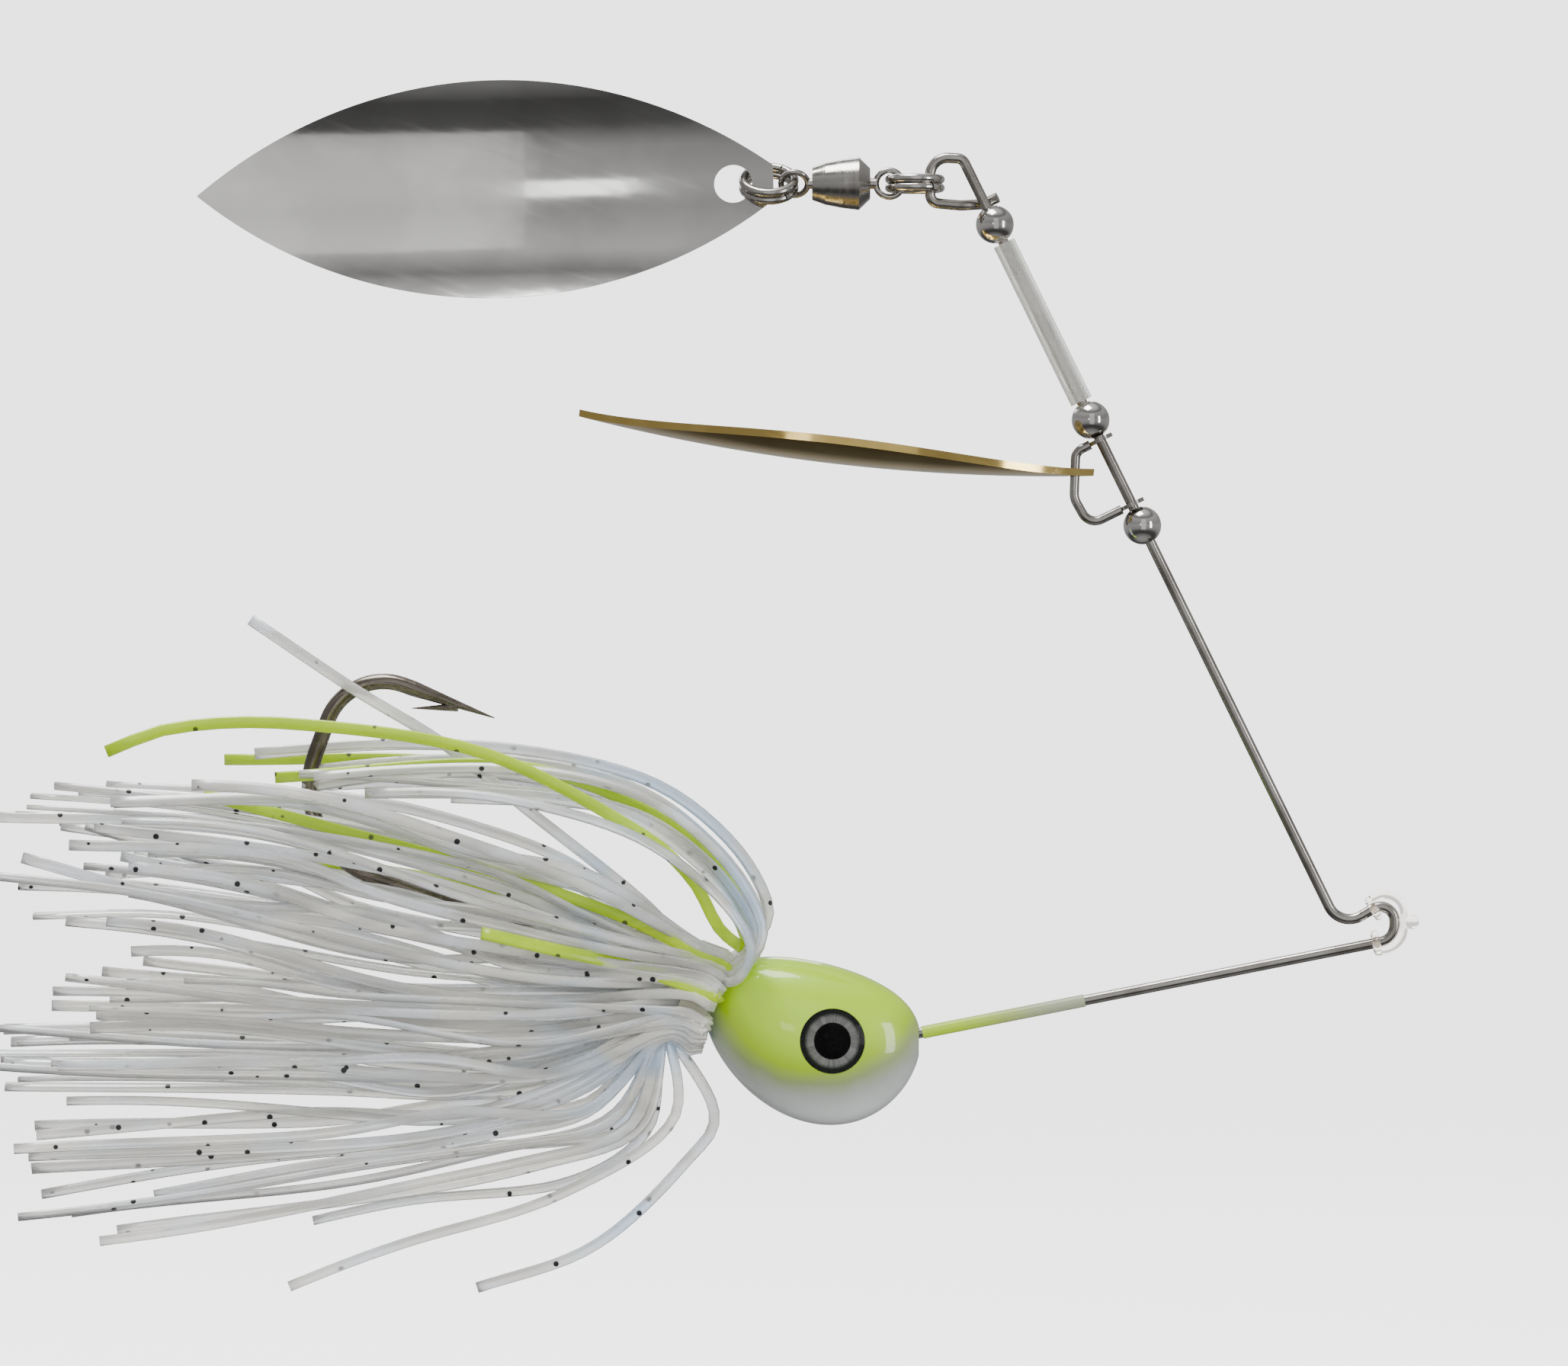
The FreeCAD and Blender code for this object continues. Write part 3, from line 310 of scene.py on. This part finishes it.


# The painted pearl sheen on the strands grows between these places along the lure, in
# millimetres.
PAINTED_SHEEN_EDGE = (-73.0, -61.0)


def silicone(name, body, cool, painted_shade, painted_sheen_colour, painted_sheen_share, transmission, fleck_share):
    """Skirt silicone: milky, with darker streaks of painted shade, a painted pearl sheen near the
    neck and black flecks.
    """
    look = Look(name, {"IOR": 1.41, "Coat Weight": 0.35, "Coat Roughness": 0.16})
    streak = look.noise(420.0, 4.0, look.stretched((5.0, 1.0, 1.0)))
    tone = look.mixed(look.span(look.noise(110.0, 1.0), 0.42, 0.58), body, cool)
    # Darker streaks of the shade colour along each strand are painted shade.
    colour = look.mixed(look.span(streak, 0.36, 0.66), tone, painted_shade)
    # Painted sheen: a pale pearl tint, in patches, mixed into the colour near the neck.
    sheen_near_neck = look.span(look.forward(), *PAINTED_SHEEN_EDGE, 0.0, painted_sheen_share)
    sheen_patch = look.span(look.noise(130.0, 1.0), 0.5, 0.62)
    with_painted_sheen = look.mixed(look.maths("MULTIPLY", sheen_near_neck, sheen_patch), colour, painted_sheen_colour)
    fleck = look.span(look.spots(470.0), 0.10, 0.135, fleck_share, 0.0)
    look.feed("Base Color", look.mixed(fleck, with_painted_sheen, (0.012, 0.012, 0.015)))
    clear = look.span(streak, 0.3, 0.7, transmission * 0.75, transmission * 1.15)
    between_flecks = look.maths("SUBTRACT", 1.0, fleck)
    look.feed("Transmission Weight", look.maths("MULTIPLY", clear, between_flecks))
    look.feed("Roughness", look.span(streak, 0.3, 0.7, 0.24, 0.42))
    look.bump(look.noise(1400.0, 3.0, look.stretched((6.0, 1.0, 1.0))), 0.00003, 0.5)
    return look.material


# Finishes of the CAD pieces.

def hardware_finishes():
    """Wire, hook, beads, clevis, rings and swivel."""
    finishes = {
        "wire_frame": metal("wire_stainless", (0.46, 0.44, 0.41), (0.27, 0.25, 0.23), 0.14, 0.3,
                            stretch=(1.0, 1.0, 9.0), turn=-ARM_LEAN),
        "hook": metal("hook_black_nickel", (0.23, 0.20, 0.17), (0.11, 0.095, 0.08), 0.16, 0.36),
        "clevis": metal("nickel_clevis", (0.50, 0.48, 0.45), (0.32, 0.30, 0.28), 0.1, 0.26),
    }
    nickel = metal("nickel_bead", (0.66, 0.645, 0.62), (0.50, 0.48, 0.46), 0.05, 0.16)
    brushed = metal("nickel_brushed", (0.52, 0.50, 0.47), (0.34, 0.32, 0.30), 0.12, 0.3,
                    grain=1600.0, stretch=(0.5, 8.0, 8.0), depth=0.000003)
    steel = metal("steel_ring", (0.58, 0.56, 0.53), (0.34, 0.32, 0.30), 0.12, 0.3)
    ball = metal("steel_ball", (0.70, 0.70, 0.70), (0.55, 0.55, 0.55), 0.05, 0.12)
    for material, names in (
        (nickel, ("bead_bottom", "bead_middle", "bead_top")),
        (brushed, ("swivel_barrel", "swivel_cap")),
        (steel, ("rear_split_ring", "front_split_ring", "swivel_rear_stem", "swivel_front_stem")),
        (ball, ("swivel_rear_balls", "swivel_front_balls")),
    ):
        finishes.update({name: material for name in names})
    return finishes


def finish_cad():
    """Gives each CAD node its finish."""
    finishes = hardware_finishes()
    finishes["small_blade"] = polished_blade(
        "gold_plate_mirror", (0.74, 0.55, 0.20), (0.56, 0.40, 0.12), 0.08, 0.16)
    finishes["large_blade"] = polished_blade(
        "nickel_plate_mirror", (0.80, 0.79, 0.77), (0.70, 0.69, 0.67), 0.10, 0.14)
    finishes["head"] = painted_head()
    finishes["wire_paint_sleeve"] = sleeve_paint()
    finishes["skirt_band"] = band_rubber()
    finishes["line_keeper_band"] = clear_plastic("keeper_clear", (0.80, 0.76, 0.70), 0.08, 1.36)
    finishes["spacer_tube"] = clear_plastic("tube_clear", (0.66, 0.66, 0.63), 0.3, 1.36, 0.72)
    for side in ("left", "right"):
        finishes[f"eye_foil_{side}"] = eye_foil()
        finishes[f"eye_lens_{side}"] = eye_resin()
    for name, material in finishes.items():
        for place in nodes[name].material_slots:
            place.material = material


# Skirt. Its sizes, points and places are in millimetres.

STRAND_WIDTH = 0.92
STRAND_THICKNESS = 0.40
# Points along each strand, and its cross-section in half widths and half thicknesses.
RINGS = 40
SECTION = ((1.0, 0.45), (0.8, 1.0), (-0.8, 1.0), (-1.0, 0.45),
           (-1.0, -0.45), (-0.8, -1.0), (0.8, -1.0), (1.0, -0.45))
# The neck's middle inside the band, and its directions back, up and sideways.
BAND_LOW, BAND_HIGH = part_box("skirt_band")
NECK = np.array((BAND_LOW + BAND_HIGH) / 2) / MM
TILT = math.radians(20)
BACK = np.array((-math.cos(TILT), 0.0, math.sin(TILT)))
RAISED = np.array((math.sin(TILT), 0.0, math.cos(TILT)))
ASIDE = np.array((0.0, 1.0, 0.0))

# Fan of trailing strands from the top one to the lowest: how many strands lie between this
# guide and the next, and the guide's own points (x, z).
FAN = (
    (9, ((-66.9, 3.6), (-75.9, 7.2), (-89.4, 10.3), (-108.0, 11.5))),
    (9, ((-66.9, 0.0), (-76.0, 3.6), (-96.0, 8.1), (-117.0, 10.0))),
    (8, ((-71.5, -0.9), (-85.0, 1.8), (-94.0, 3.2), (-106.0, 5.4))),
    (8, ((-71.5, -4.5), (-85.0, -2.2), (-103.0, 2.0), (-117.0, 4.3))),
    (10, ((-71.5, -7.2), (-85.0, -6.7), (-96.0, -5.8), (-110.0, -4.3))),
    (10, ((-71.5, -10.8), (-85.0, -9.9), (-98.5, -9.2), (-117.0, -9.4))),
    (5, ((-69.0, -13.6), (-78.0, -15.2), (-91.0, -14.8), (-117.0, -14.0))),
    (3, ((-66.9, -15.7), (-77.7, -17.3), (-91.7, -18.9), (-114.0, -21.0))),
    (2, ((-64.7, -16.6), (-74.0, -18.9), (-89.4, -20.8), (-114.0, -24.6))),
    (1, ((-62.4, -17.1), (-71.4, -20.2), (-87.2, -23.0), (-106.0, -26.4))),
    (0, ((-59.8, -16.8), (-69.0, -22.6), (-81.3, -27.0), (-92.0, -31.7))),
    (0, ((-56.4, -16.4), (-59.0, -20.8), (-66.6, -27.4), (-76.4, -32.0))),
)
# How far above the neck's middle each guide leaves it, as a share of the radius.
LEAVE = (0.88, 0.66, 0.42, 0.15, -0.35, -0.6, -0.82, -0.92, -0.96, -0.97, -0.98, -0.99)
FAN_HALF_WIDTH = 10.5
# How far a strand's points stray along x and z, and the shares that strands are cut to.
FAN_STRAY = (1.3, 1.04)
FAN_CUTS = (1.0, 0.98, 0.93, 0.88)

# Close bundle of arches that rise from the front of the band, over the neck and back.
ARCH_COUNT = 13
ARCH_OUTER = ((-51.7, 2.0), (-54.8, 7.6), (-61.1, 12.4), (-70.5, 14.7), (-82.0, 15.4),
              (-95.0, 15.3))
ARCH_INNER = ((-53.6, 1.0), (-57.4, 5.2), (-63.8, 9.4), (-73.0, 11.4), (-84.0, 11.6),
              (-97.0, 10.4))
# They leave the neck within this many degrees each side of its top. Those nearer its
# sides lie further back and lower, by this far in x and z for one at a right angle.
ARCH_HALF_ANGLE = 68
ARCH_DROOP = (1.2, 5.5)
ARCH_CUTS = (1.0, 0.93, 0.85, 0.76)

# Single strands: azimuth at the neck in degrees, sideways place, and points (x, z).
GREEN_ARCHES = (
    (-16, -9.5, ((-55.9, -0.4), (-58.4, 4.0), (-63.3, 8.1), (-75.9, 14.4), (-91.2, 16.7),
                 (-101.0, 16.4), (-106.7, 14.4))),
    (-34, -5.0, ((-54.1, 0.9), (-55.7, 4.3), (-60.2, 8.5), (-73.2, 13.2), (-93.0, 12.2))),
    (24, 6.0, ((-54.6, 0.6), (-57.8, 5.0), (-65.0, 9.8), (-79.0, 13.4), (-98.0, 13.6))),
)
GREEN_TRAILS = (
    (-48, -4.5, ((-63.3, 0.2), (-74.6, 4.2), (-88.5, 8.0), (-99.0, 10.8))),
    (-82, -7.0, ((-64.2, -3.4), (-69.0, -2.3), (-75.7, -0.7))),
    (52, 6.5, ((-64.2, -0.4), (-75.0, 2.6), (-90.0, 5.0), (-101.0, 6.0))),
    (120, 8.0, ((-66.0, -10.6), (-78.0, -11.4), (-96.0, -10.4))),
)
CROSSING = (-22, -4.2, ((-62.4, 1.8), (-71.4, 9.0), (-79.0, 15.0), (-86.5, 19.6), (-95.1, 25.4)))

# Roots of the strands that leave the band's front, as places back from the band's middle
# and radii: folded back over the band, stood up over the neck, and stood up less high.
FOLDED = ((-0.2, 3.5), (-1.35, 3.75), (-1.7, 4.3), (-1.1, 4.75), (1.6, 4.8))
RISEN = ((0.0, 3.5), (-1.35, 3.65), (-2.9, 6.2))
RISEN_LOW = ((0.0, 3.5), (-1.35, 3.65), (-2.9, 4.9))


# Lines of the strands.

def smooth_line(points):
    """Samples of a Catmull-Rom line through the points, closest together at its start."""
    knots = np.array([2 * points[0] - points[1], *points, 2 * points[-1] - points[-2]])
    place = np.linspace(0, len(points) - 1, 12 * len(points))
    index = np.minimum(place.astype(int), len(points) - 2)
    part = (place - index)[:, None]
    before, start, end, after = (knots[index + shift] for shift in range(4))
    line = 0.5 * (2 * start + (end - before) * part
                  + (2 * before - 5 * start + 4 * end - after) * part**2
                  + (3 * start - before - 3 * end + after) * part**3)
    steps = np.linalg.norm(np.diff(line, axis=0), axis=1)
    reach = np.concatenate(([0.0], np.cumsum(steps)))
    wanted = np.linspace(0, 1, RINGS)**1.5 * reach[-1]
    return np.stack([np.interp(wanted, reach, line[:, axis]) for axis in range(3)], axis=1)


def cut_short(line, share):
    """The first share of a line, sampled again to the same number of points."""
    place = np.linspace(0, (len(line) - 1) * share, len(line))
    whole = np.arange(len(line))
    return np.stack([np.interp(place, whole, line[:, axis]) for axis in range(3)], axis=1)


def waved(line, size):
    """Slow waves, sideways and up and down, that grow from the neck to the tip."""
    share = np.linspace(0, 1, len(line))
    shift = np.zeros_like(line)
    for axis in (1, 2):
        phase = random.uniform(0, 2 * math.pi)
        waves = random.uniform(0.7, 1.5)
        shift[:, axis] = np.sin(phase + share * waves * 2 * math.pi) - math.sin(phase)
    return line + shift * (share**1.4)[:, None] * size


def between(first, second, share):
    """Point a share of the way from one (x, z) point to another."""
    return tuple((1 - share) * near + share * far for near, far in zip(first, second))


def spread(points, side, start=0.5):
    """Points in the side view, moved more and more sideways towards the tip."""
    shares = np.linspace(start, 1.0, len(points))
    return [np.array((x, side * share, z)) for (x, z), share in zip(points, shares)]


# Roots of the strands.

def from_under(radius):
    """Root that runs straight back from under the band."""
    return (-0.6, radius), (1.8, radius + 0.15)


def rooted(root, azimuth):
    """Points of a root, turned to its azimuth from above."""
    outward = RAISED * math.cos(azimuth) + ASIDE * math.sin(azimuth)
    return [NECK + BACK * along + outward * radius for along, radius in root]


# Strands: each is a line, its lean at the root and its turn towards the tip.

def fan_strands():
    """Trailing strands, spaced between the fan's guides."""
    strands = []
    last = len(FAN) - 1
    for index, (count, guide) in enumerate(FAN):
        following = min(index + 1, last)
        for number in range(count + 1):
            share = number / (count + 1)
            rise = (1 - share) * LEAVE[index] + share * LEAVE[following]
            aside = random.uniform(0.15, 1.0) * random.choice((-1, 1))
            azimuth = math.copysign(math.acos(rise), aside)
            points = []
            for upper, lower in zip(guide, FAN[following][1]):
                strays = [random.uniform(-1, 1) * stray * bool(number) for stray in FAN_STRAY]
                x, z = between(upper, lower, share)
                points.append((x + strays[0], z + strays[1]))
            root = FOLDED if number % 3 else from_under(random.uniform(2.4, 3.4))
            line = smooth_line(rooted(root, azimuth) + spread(points, aside * FAN_HALF_WIDTH))
            if number:
                line = cut_short(line, random.choice(FAN_CUTS))
            line = waved(line, 0.7)
            strands.append((line, random.uniform(-0.8, 0.8), random.uniform(-1.2, 1.2)))
    return strands


def arch_strands():
    """Pearl strands that rise over the neck and sweep back."""
    strands = []
    for number in range(ARCH_COUNT):
        inward = random.random() ** 1.5
        degrees = ARCH_HALF_ANGLE * (2 * (number + 0.5) / ARCH_COUNT - 1)
        azimuth = math.radians(degrees)
        fall = 1 - math.cos(azimuth)
        points = [between(outer, inner, inward) for outer, inner in zip(ARCH_OUTER, ARCH_INNER)]
        points = [(x - ARCH_DROOP[0] * fall, z - ARCH_DROOP[1] * fall) for x, z in points]
        side = math.sin(azimuth) * random.uniform(7.0, 9.5)
        line = smooth_line(rooted(RISEN, azimuth) + spread(points, side, 0.75))
        line = waved(cut_short(line, random.choice(ARCH_CUTS)), 0.8)
        strands.append((line, random.uniform(-0.6, 0.6), random.uniform(-1.0, 1.0)))
    return strands


def single_strand(root, entry):
    """Strand from one table entry: its azimuth, sideways place and points."""
    degrees, side, points = entry
    line = smooth_line(rooted(root, math.radians(degrees)) + spread(points, side))
    return line, random.uniform(-0.3, 0.3), random.uniform(-0.4, 0.4)


def ribbon(line, lean, turn, scale):
    """Vertices in metres and faces of one flat strand along a line."""
    tangent = np.gradient(line, axis=0)
    tangent /= np.linalg.norm(tangent, axis=1)[:, None]
    side = np.cross(tangent, ASIDE)
    side /= np.linalg.norm(side, axis=1)[:, None]
    face = np.cross(side, tangent)
    angle = lean + turn * np.linspace(0, 1, len(line))
    across = side * np.cos(angle)[:, None] + face * np.sin(angle)[:, None]
    up = face * np.cos(angle)[:, None] - side * np.sin(angle)[:, None]
    half_width = STRAND_WIDTH / 2 * scale * random.uniform(0.9, 1.1)
    half_thickness = STRAND_THICKNESS / 2
    rows = [line + across * (wide * half_width) + up * (high * half_thickness)
            for wide, high in SECTION]
    vertices = np.stack(rows, axis=1).reshape(-1, 3) * MM
    size = len(SECTION)
    faces = [(ring * size + corner, ring * size + (corner + 1) % size,
              (ring + 1) * size + (corner + 1) % size, (ring + 1) * size + corner)
             for ring in range(len(line) - 1) for corner in range(size)]
    faces.append(tuple(range(size - 1, -1, -1)))
    faces.append(tuple((len(line) - 1) * size + corner for corner in range(size)))
    return vertices, faces


def strand_piece(name, strands, material, stands_for, scale=1.0):
    """One object from many strands, riding on the frame."""
    vertices, faces, count = [], [], 0
    for line, lean, turn in strands:
        points, sides = ribbon(line, lean, turn, scale)
        vertices.extend(points.tolist())
        faces.extend(tuple(corner + count for corner in side) for side in sides)
        count += len(points)
    mesh = bpy.data.meshes.new(name)
    mesh.from_pydata(vertices, [], faces)
    mesh.polygons.foreach_set("use_smooth", [len(face) == 4 for face in faces])
    mesh.materials.append(material)
    piece = bpy.data.objects.new(name, mesh)
    bpy.context.scene.collection.objects.link(piece)
    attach(piece, "frame")
    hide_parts(*stands_for)


def skirt():
    """Pearl fan, pearl arches with one strand that crosses them, and chartreuse strands."""
    # Of each silicone's colours, the third is painted shade and the fourth a painted sheen.
    pearl = silicone("silicone_pearl", (0.90, 0.89, 0.84), (0.84, 0.87, 0.90),
                     (0.62, 0.61, 0.58), (0.58, 0.74, 0.92), 0.7, 0.5, 1.0)
    green = silicone("silicone_chartreuse", (0.66, 0.96, 0.0), (0.60, 0.90, 0.0),
                     (0.50, 0.78, 0.0), (0.66, 0.92, 0.10), 0.3, 0.12, 0.85)
    trailing = [f"skirt_trailing_{place}" for place in ("upper", "side", "lower")]
    strand_piece("skirt_fan_pearl", fan_strands(), pearl, trailing)
    arches = arch_strands()
    arches.append(single_strand(from_under(3.2), CROSSING))
    strand_piece("skirt_arch_pearl", arches, pearl, ["skirt_umbrella_pearl"])
    greens = [single_strand(RISEN_LOW, entry) for entry in GREEN_ARCHES]
    greens += [single_strand(FOLDED, entry) for entry in GREEN_TRAILS]
    strand_piece("skirt_chartreuse", greens, green,
                 ["skirt_umbrella_chartreuse"], 1.15)


# Surroundings, in metres.

MIDDLE = (Vector(cad_box[0]) + Vector(cad_box[1])) / 2
BLADE = Vector((-0.064, 0.0, 0.062))
# Lights: name, what it is aimed at, place from there, size, power in watts, and whether
# metal mirrors it. The window and the panel give the large blade its reflections.
LIGHTS = (
    ("key", MIDDLE, (-0.08, -0.04, 0.45), (0.30, 0.20), 2.4, True),
    ("fill", MIDDLE, (0.42, -0.30, 0.05), (0.10, 0.30), 0.8, True),
    ("rim", MIDDLE, (-0.15, 0.45, 0.30), (0.5, 0.2), 1.1, True),
    ("window", BLADE, (-0.118, -0.72, 0.038), (0.085, 0.10), 0.07, True),
    ("panel", BLADE, (0.114, -0.70, 0.048), (0.38, 0.9), 0.45, True),
    ("front", MIDDLE, (0.0, -0.60, 0.10), (0.7, 0.5), 1.1, False),
    ("under", MIDDLE, (0.0, -0.30, -0.50), (0.7, 0.5), 0.8, False),
)
# Greys that metal mirrors, from straight down to straight up.
ROOM_BANDS = ((0.0, 0.35), (0.14, 0.06), (0.24, 0.08), (0.34, 0.30), (0.5, 0.40),
              (0.62, 0.32), (0.80, 0.50), (0.88, 0.20), (1.0, 1.0))
ROOM_STRENGTH = 1.05
# White that is seen through clear plastic, and what the camera's own view adds to it.
WHITE_STRENGTH = 1.4
CAMERA_STRENGTH = 1.6
FLOOR_RADIUS = 3.0
FLOOR_DROP = 0.03
# The lens and the sensor in millimetres, and the width of the view at the lure.
LENS = 180.0
SENSOR = 36.0
VIEW_WIDTH = 131.9 * MM
VIEW_X = -50.5 * MM
VIEW_Z = 20.1 * MM


def softbox(name, aim, offset, size, power, mirrored):
    """Soft rectangular light at an offset from its aim."""
    data = bpy.data.lights.new(name, "AREA")
    data.shape = "RECTANGLE"
    data.size, data.size_y = size
    data.energy = power
    light = bpy.data.objects.new(name, data)
    light.location = aim + Vector(offset)
    light.rotation_euler = (-Vector(offset)).to_track_quat("-Z", "Y").to_euler()
    light.visible_camera = False
    light.visible_glossy = mirrored
    bpy.context.scene.collection.objects.link(light)


def surroundings():
    """Grey bands for reflections, and plain white for the camera and clear plastic."""
    world = bpy.data.worlds.new("studio_air")
    bpy.context.scene.world = world
    world.use_nodes = True
    tree = world.node_tree
    place = add_node(tree, "ShaderNodeTexCoord", {}).outputs["Generated"]
    height = add_node(tree, "ShaderNodeSeparateXYZ", {0: place}).outputs["Z"]
    level = add_node(tree, "ShaderNodeMapRange", {"Value": height, "From Min": -1.0})
    greys = [(position, (grey, grey, grey)) for position, grey in ROOM_BANDS]
    room = tree.nodes["Background"]
    room.inputs["Strength"].default_value = ROOM_STRENGTH
    tree.links.new(add_ramp(tree, level.outputs["Result"], greys), room.inputs["Color"])
    path = add_node(tree, "ShaderNodeLightPath", {})
    seen = path.outputs["Is Camera Ray"]
    clear = path.outputs["Is Transmission Ray"]
    strength = add_node(tree, "ShaderNodeMath", {0: seen, 1: CAMERA_STRENGTH, 2: WHITE_STRENGTH},
                        operation="MULTIPLY_ADD")
    white = add_node(tree, "ShaderNodeBackground",
                     {"Color": (1.0, 1.0, 1.0, 1.0), "Strength": strength.outputs[0]})
    either = add_node(tree, "ShaderNodeMath", {0: seen, 1: clear}, operation="MAXIMUM")
    mix = add_node(tree, "ShaderNodeMixShader",
                   {"Fac": either.outputs[0], 1: room.outputs[0], 2: white.outputs[0]})
    tree.links.new(mix.outputs[0], tree.nodes["World Output"].inputs["Surface"])


def floor():
    """Pale matt disc under the lure, as bright as its surroundings and without a shadow."""
    bpy.ops.mesh.primitive_circle_add(
        vertices=96, radius=FLOOR_RADIUS, fill_type="NGON",
        location=(cad_box[0][0] / 2, 0.0, cad_box[0][2] - FLOOR_DROP))
    disc = bpy.context.object
    disc.name = "studio_floor"
    disc.visible_shadow = False
    disc.visible_glossy = False
    disc.visible_diffuse = False
    look = Look("floor_pale", {
        "Roughness": 0.9, "Emission Color": (1.0, 1.0, 1.0, 1.0), "Emission Strength": 2.5,
    })
    shade = look.noise(3.0, 2.0)
    look.feed("Base Color", look.mixed(shade, (0.93, 0.93, 0.93), (0.90, 0.90, 0.90)))
    disc.data.materials.append(look.material)


def camera():
    """Long lens square to the lure's side."""
    data = bpy.data.cameras.new("camera")
    data.lens = LENS
    data.sensor_width = SENSOR
    view = bpy.data.objects.new("camera", data)
    view.location = (VIEW_X, -VIEW_WIDTH / SENSOR * LENS, VIEW_Z)
    view.rotation_euler = (math.radians(90), 0.0, 0.0)
    bpy.context.scene.collection.objects.link(view)
    bpy.context.scene.camera = view


camera()
for light in LIGHTS:
    softbox(*light)
surroundings()
floor()
finish_cad()
skirt()
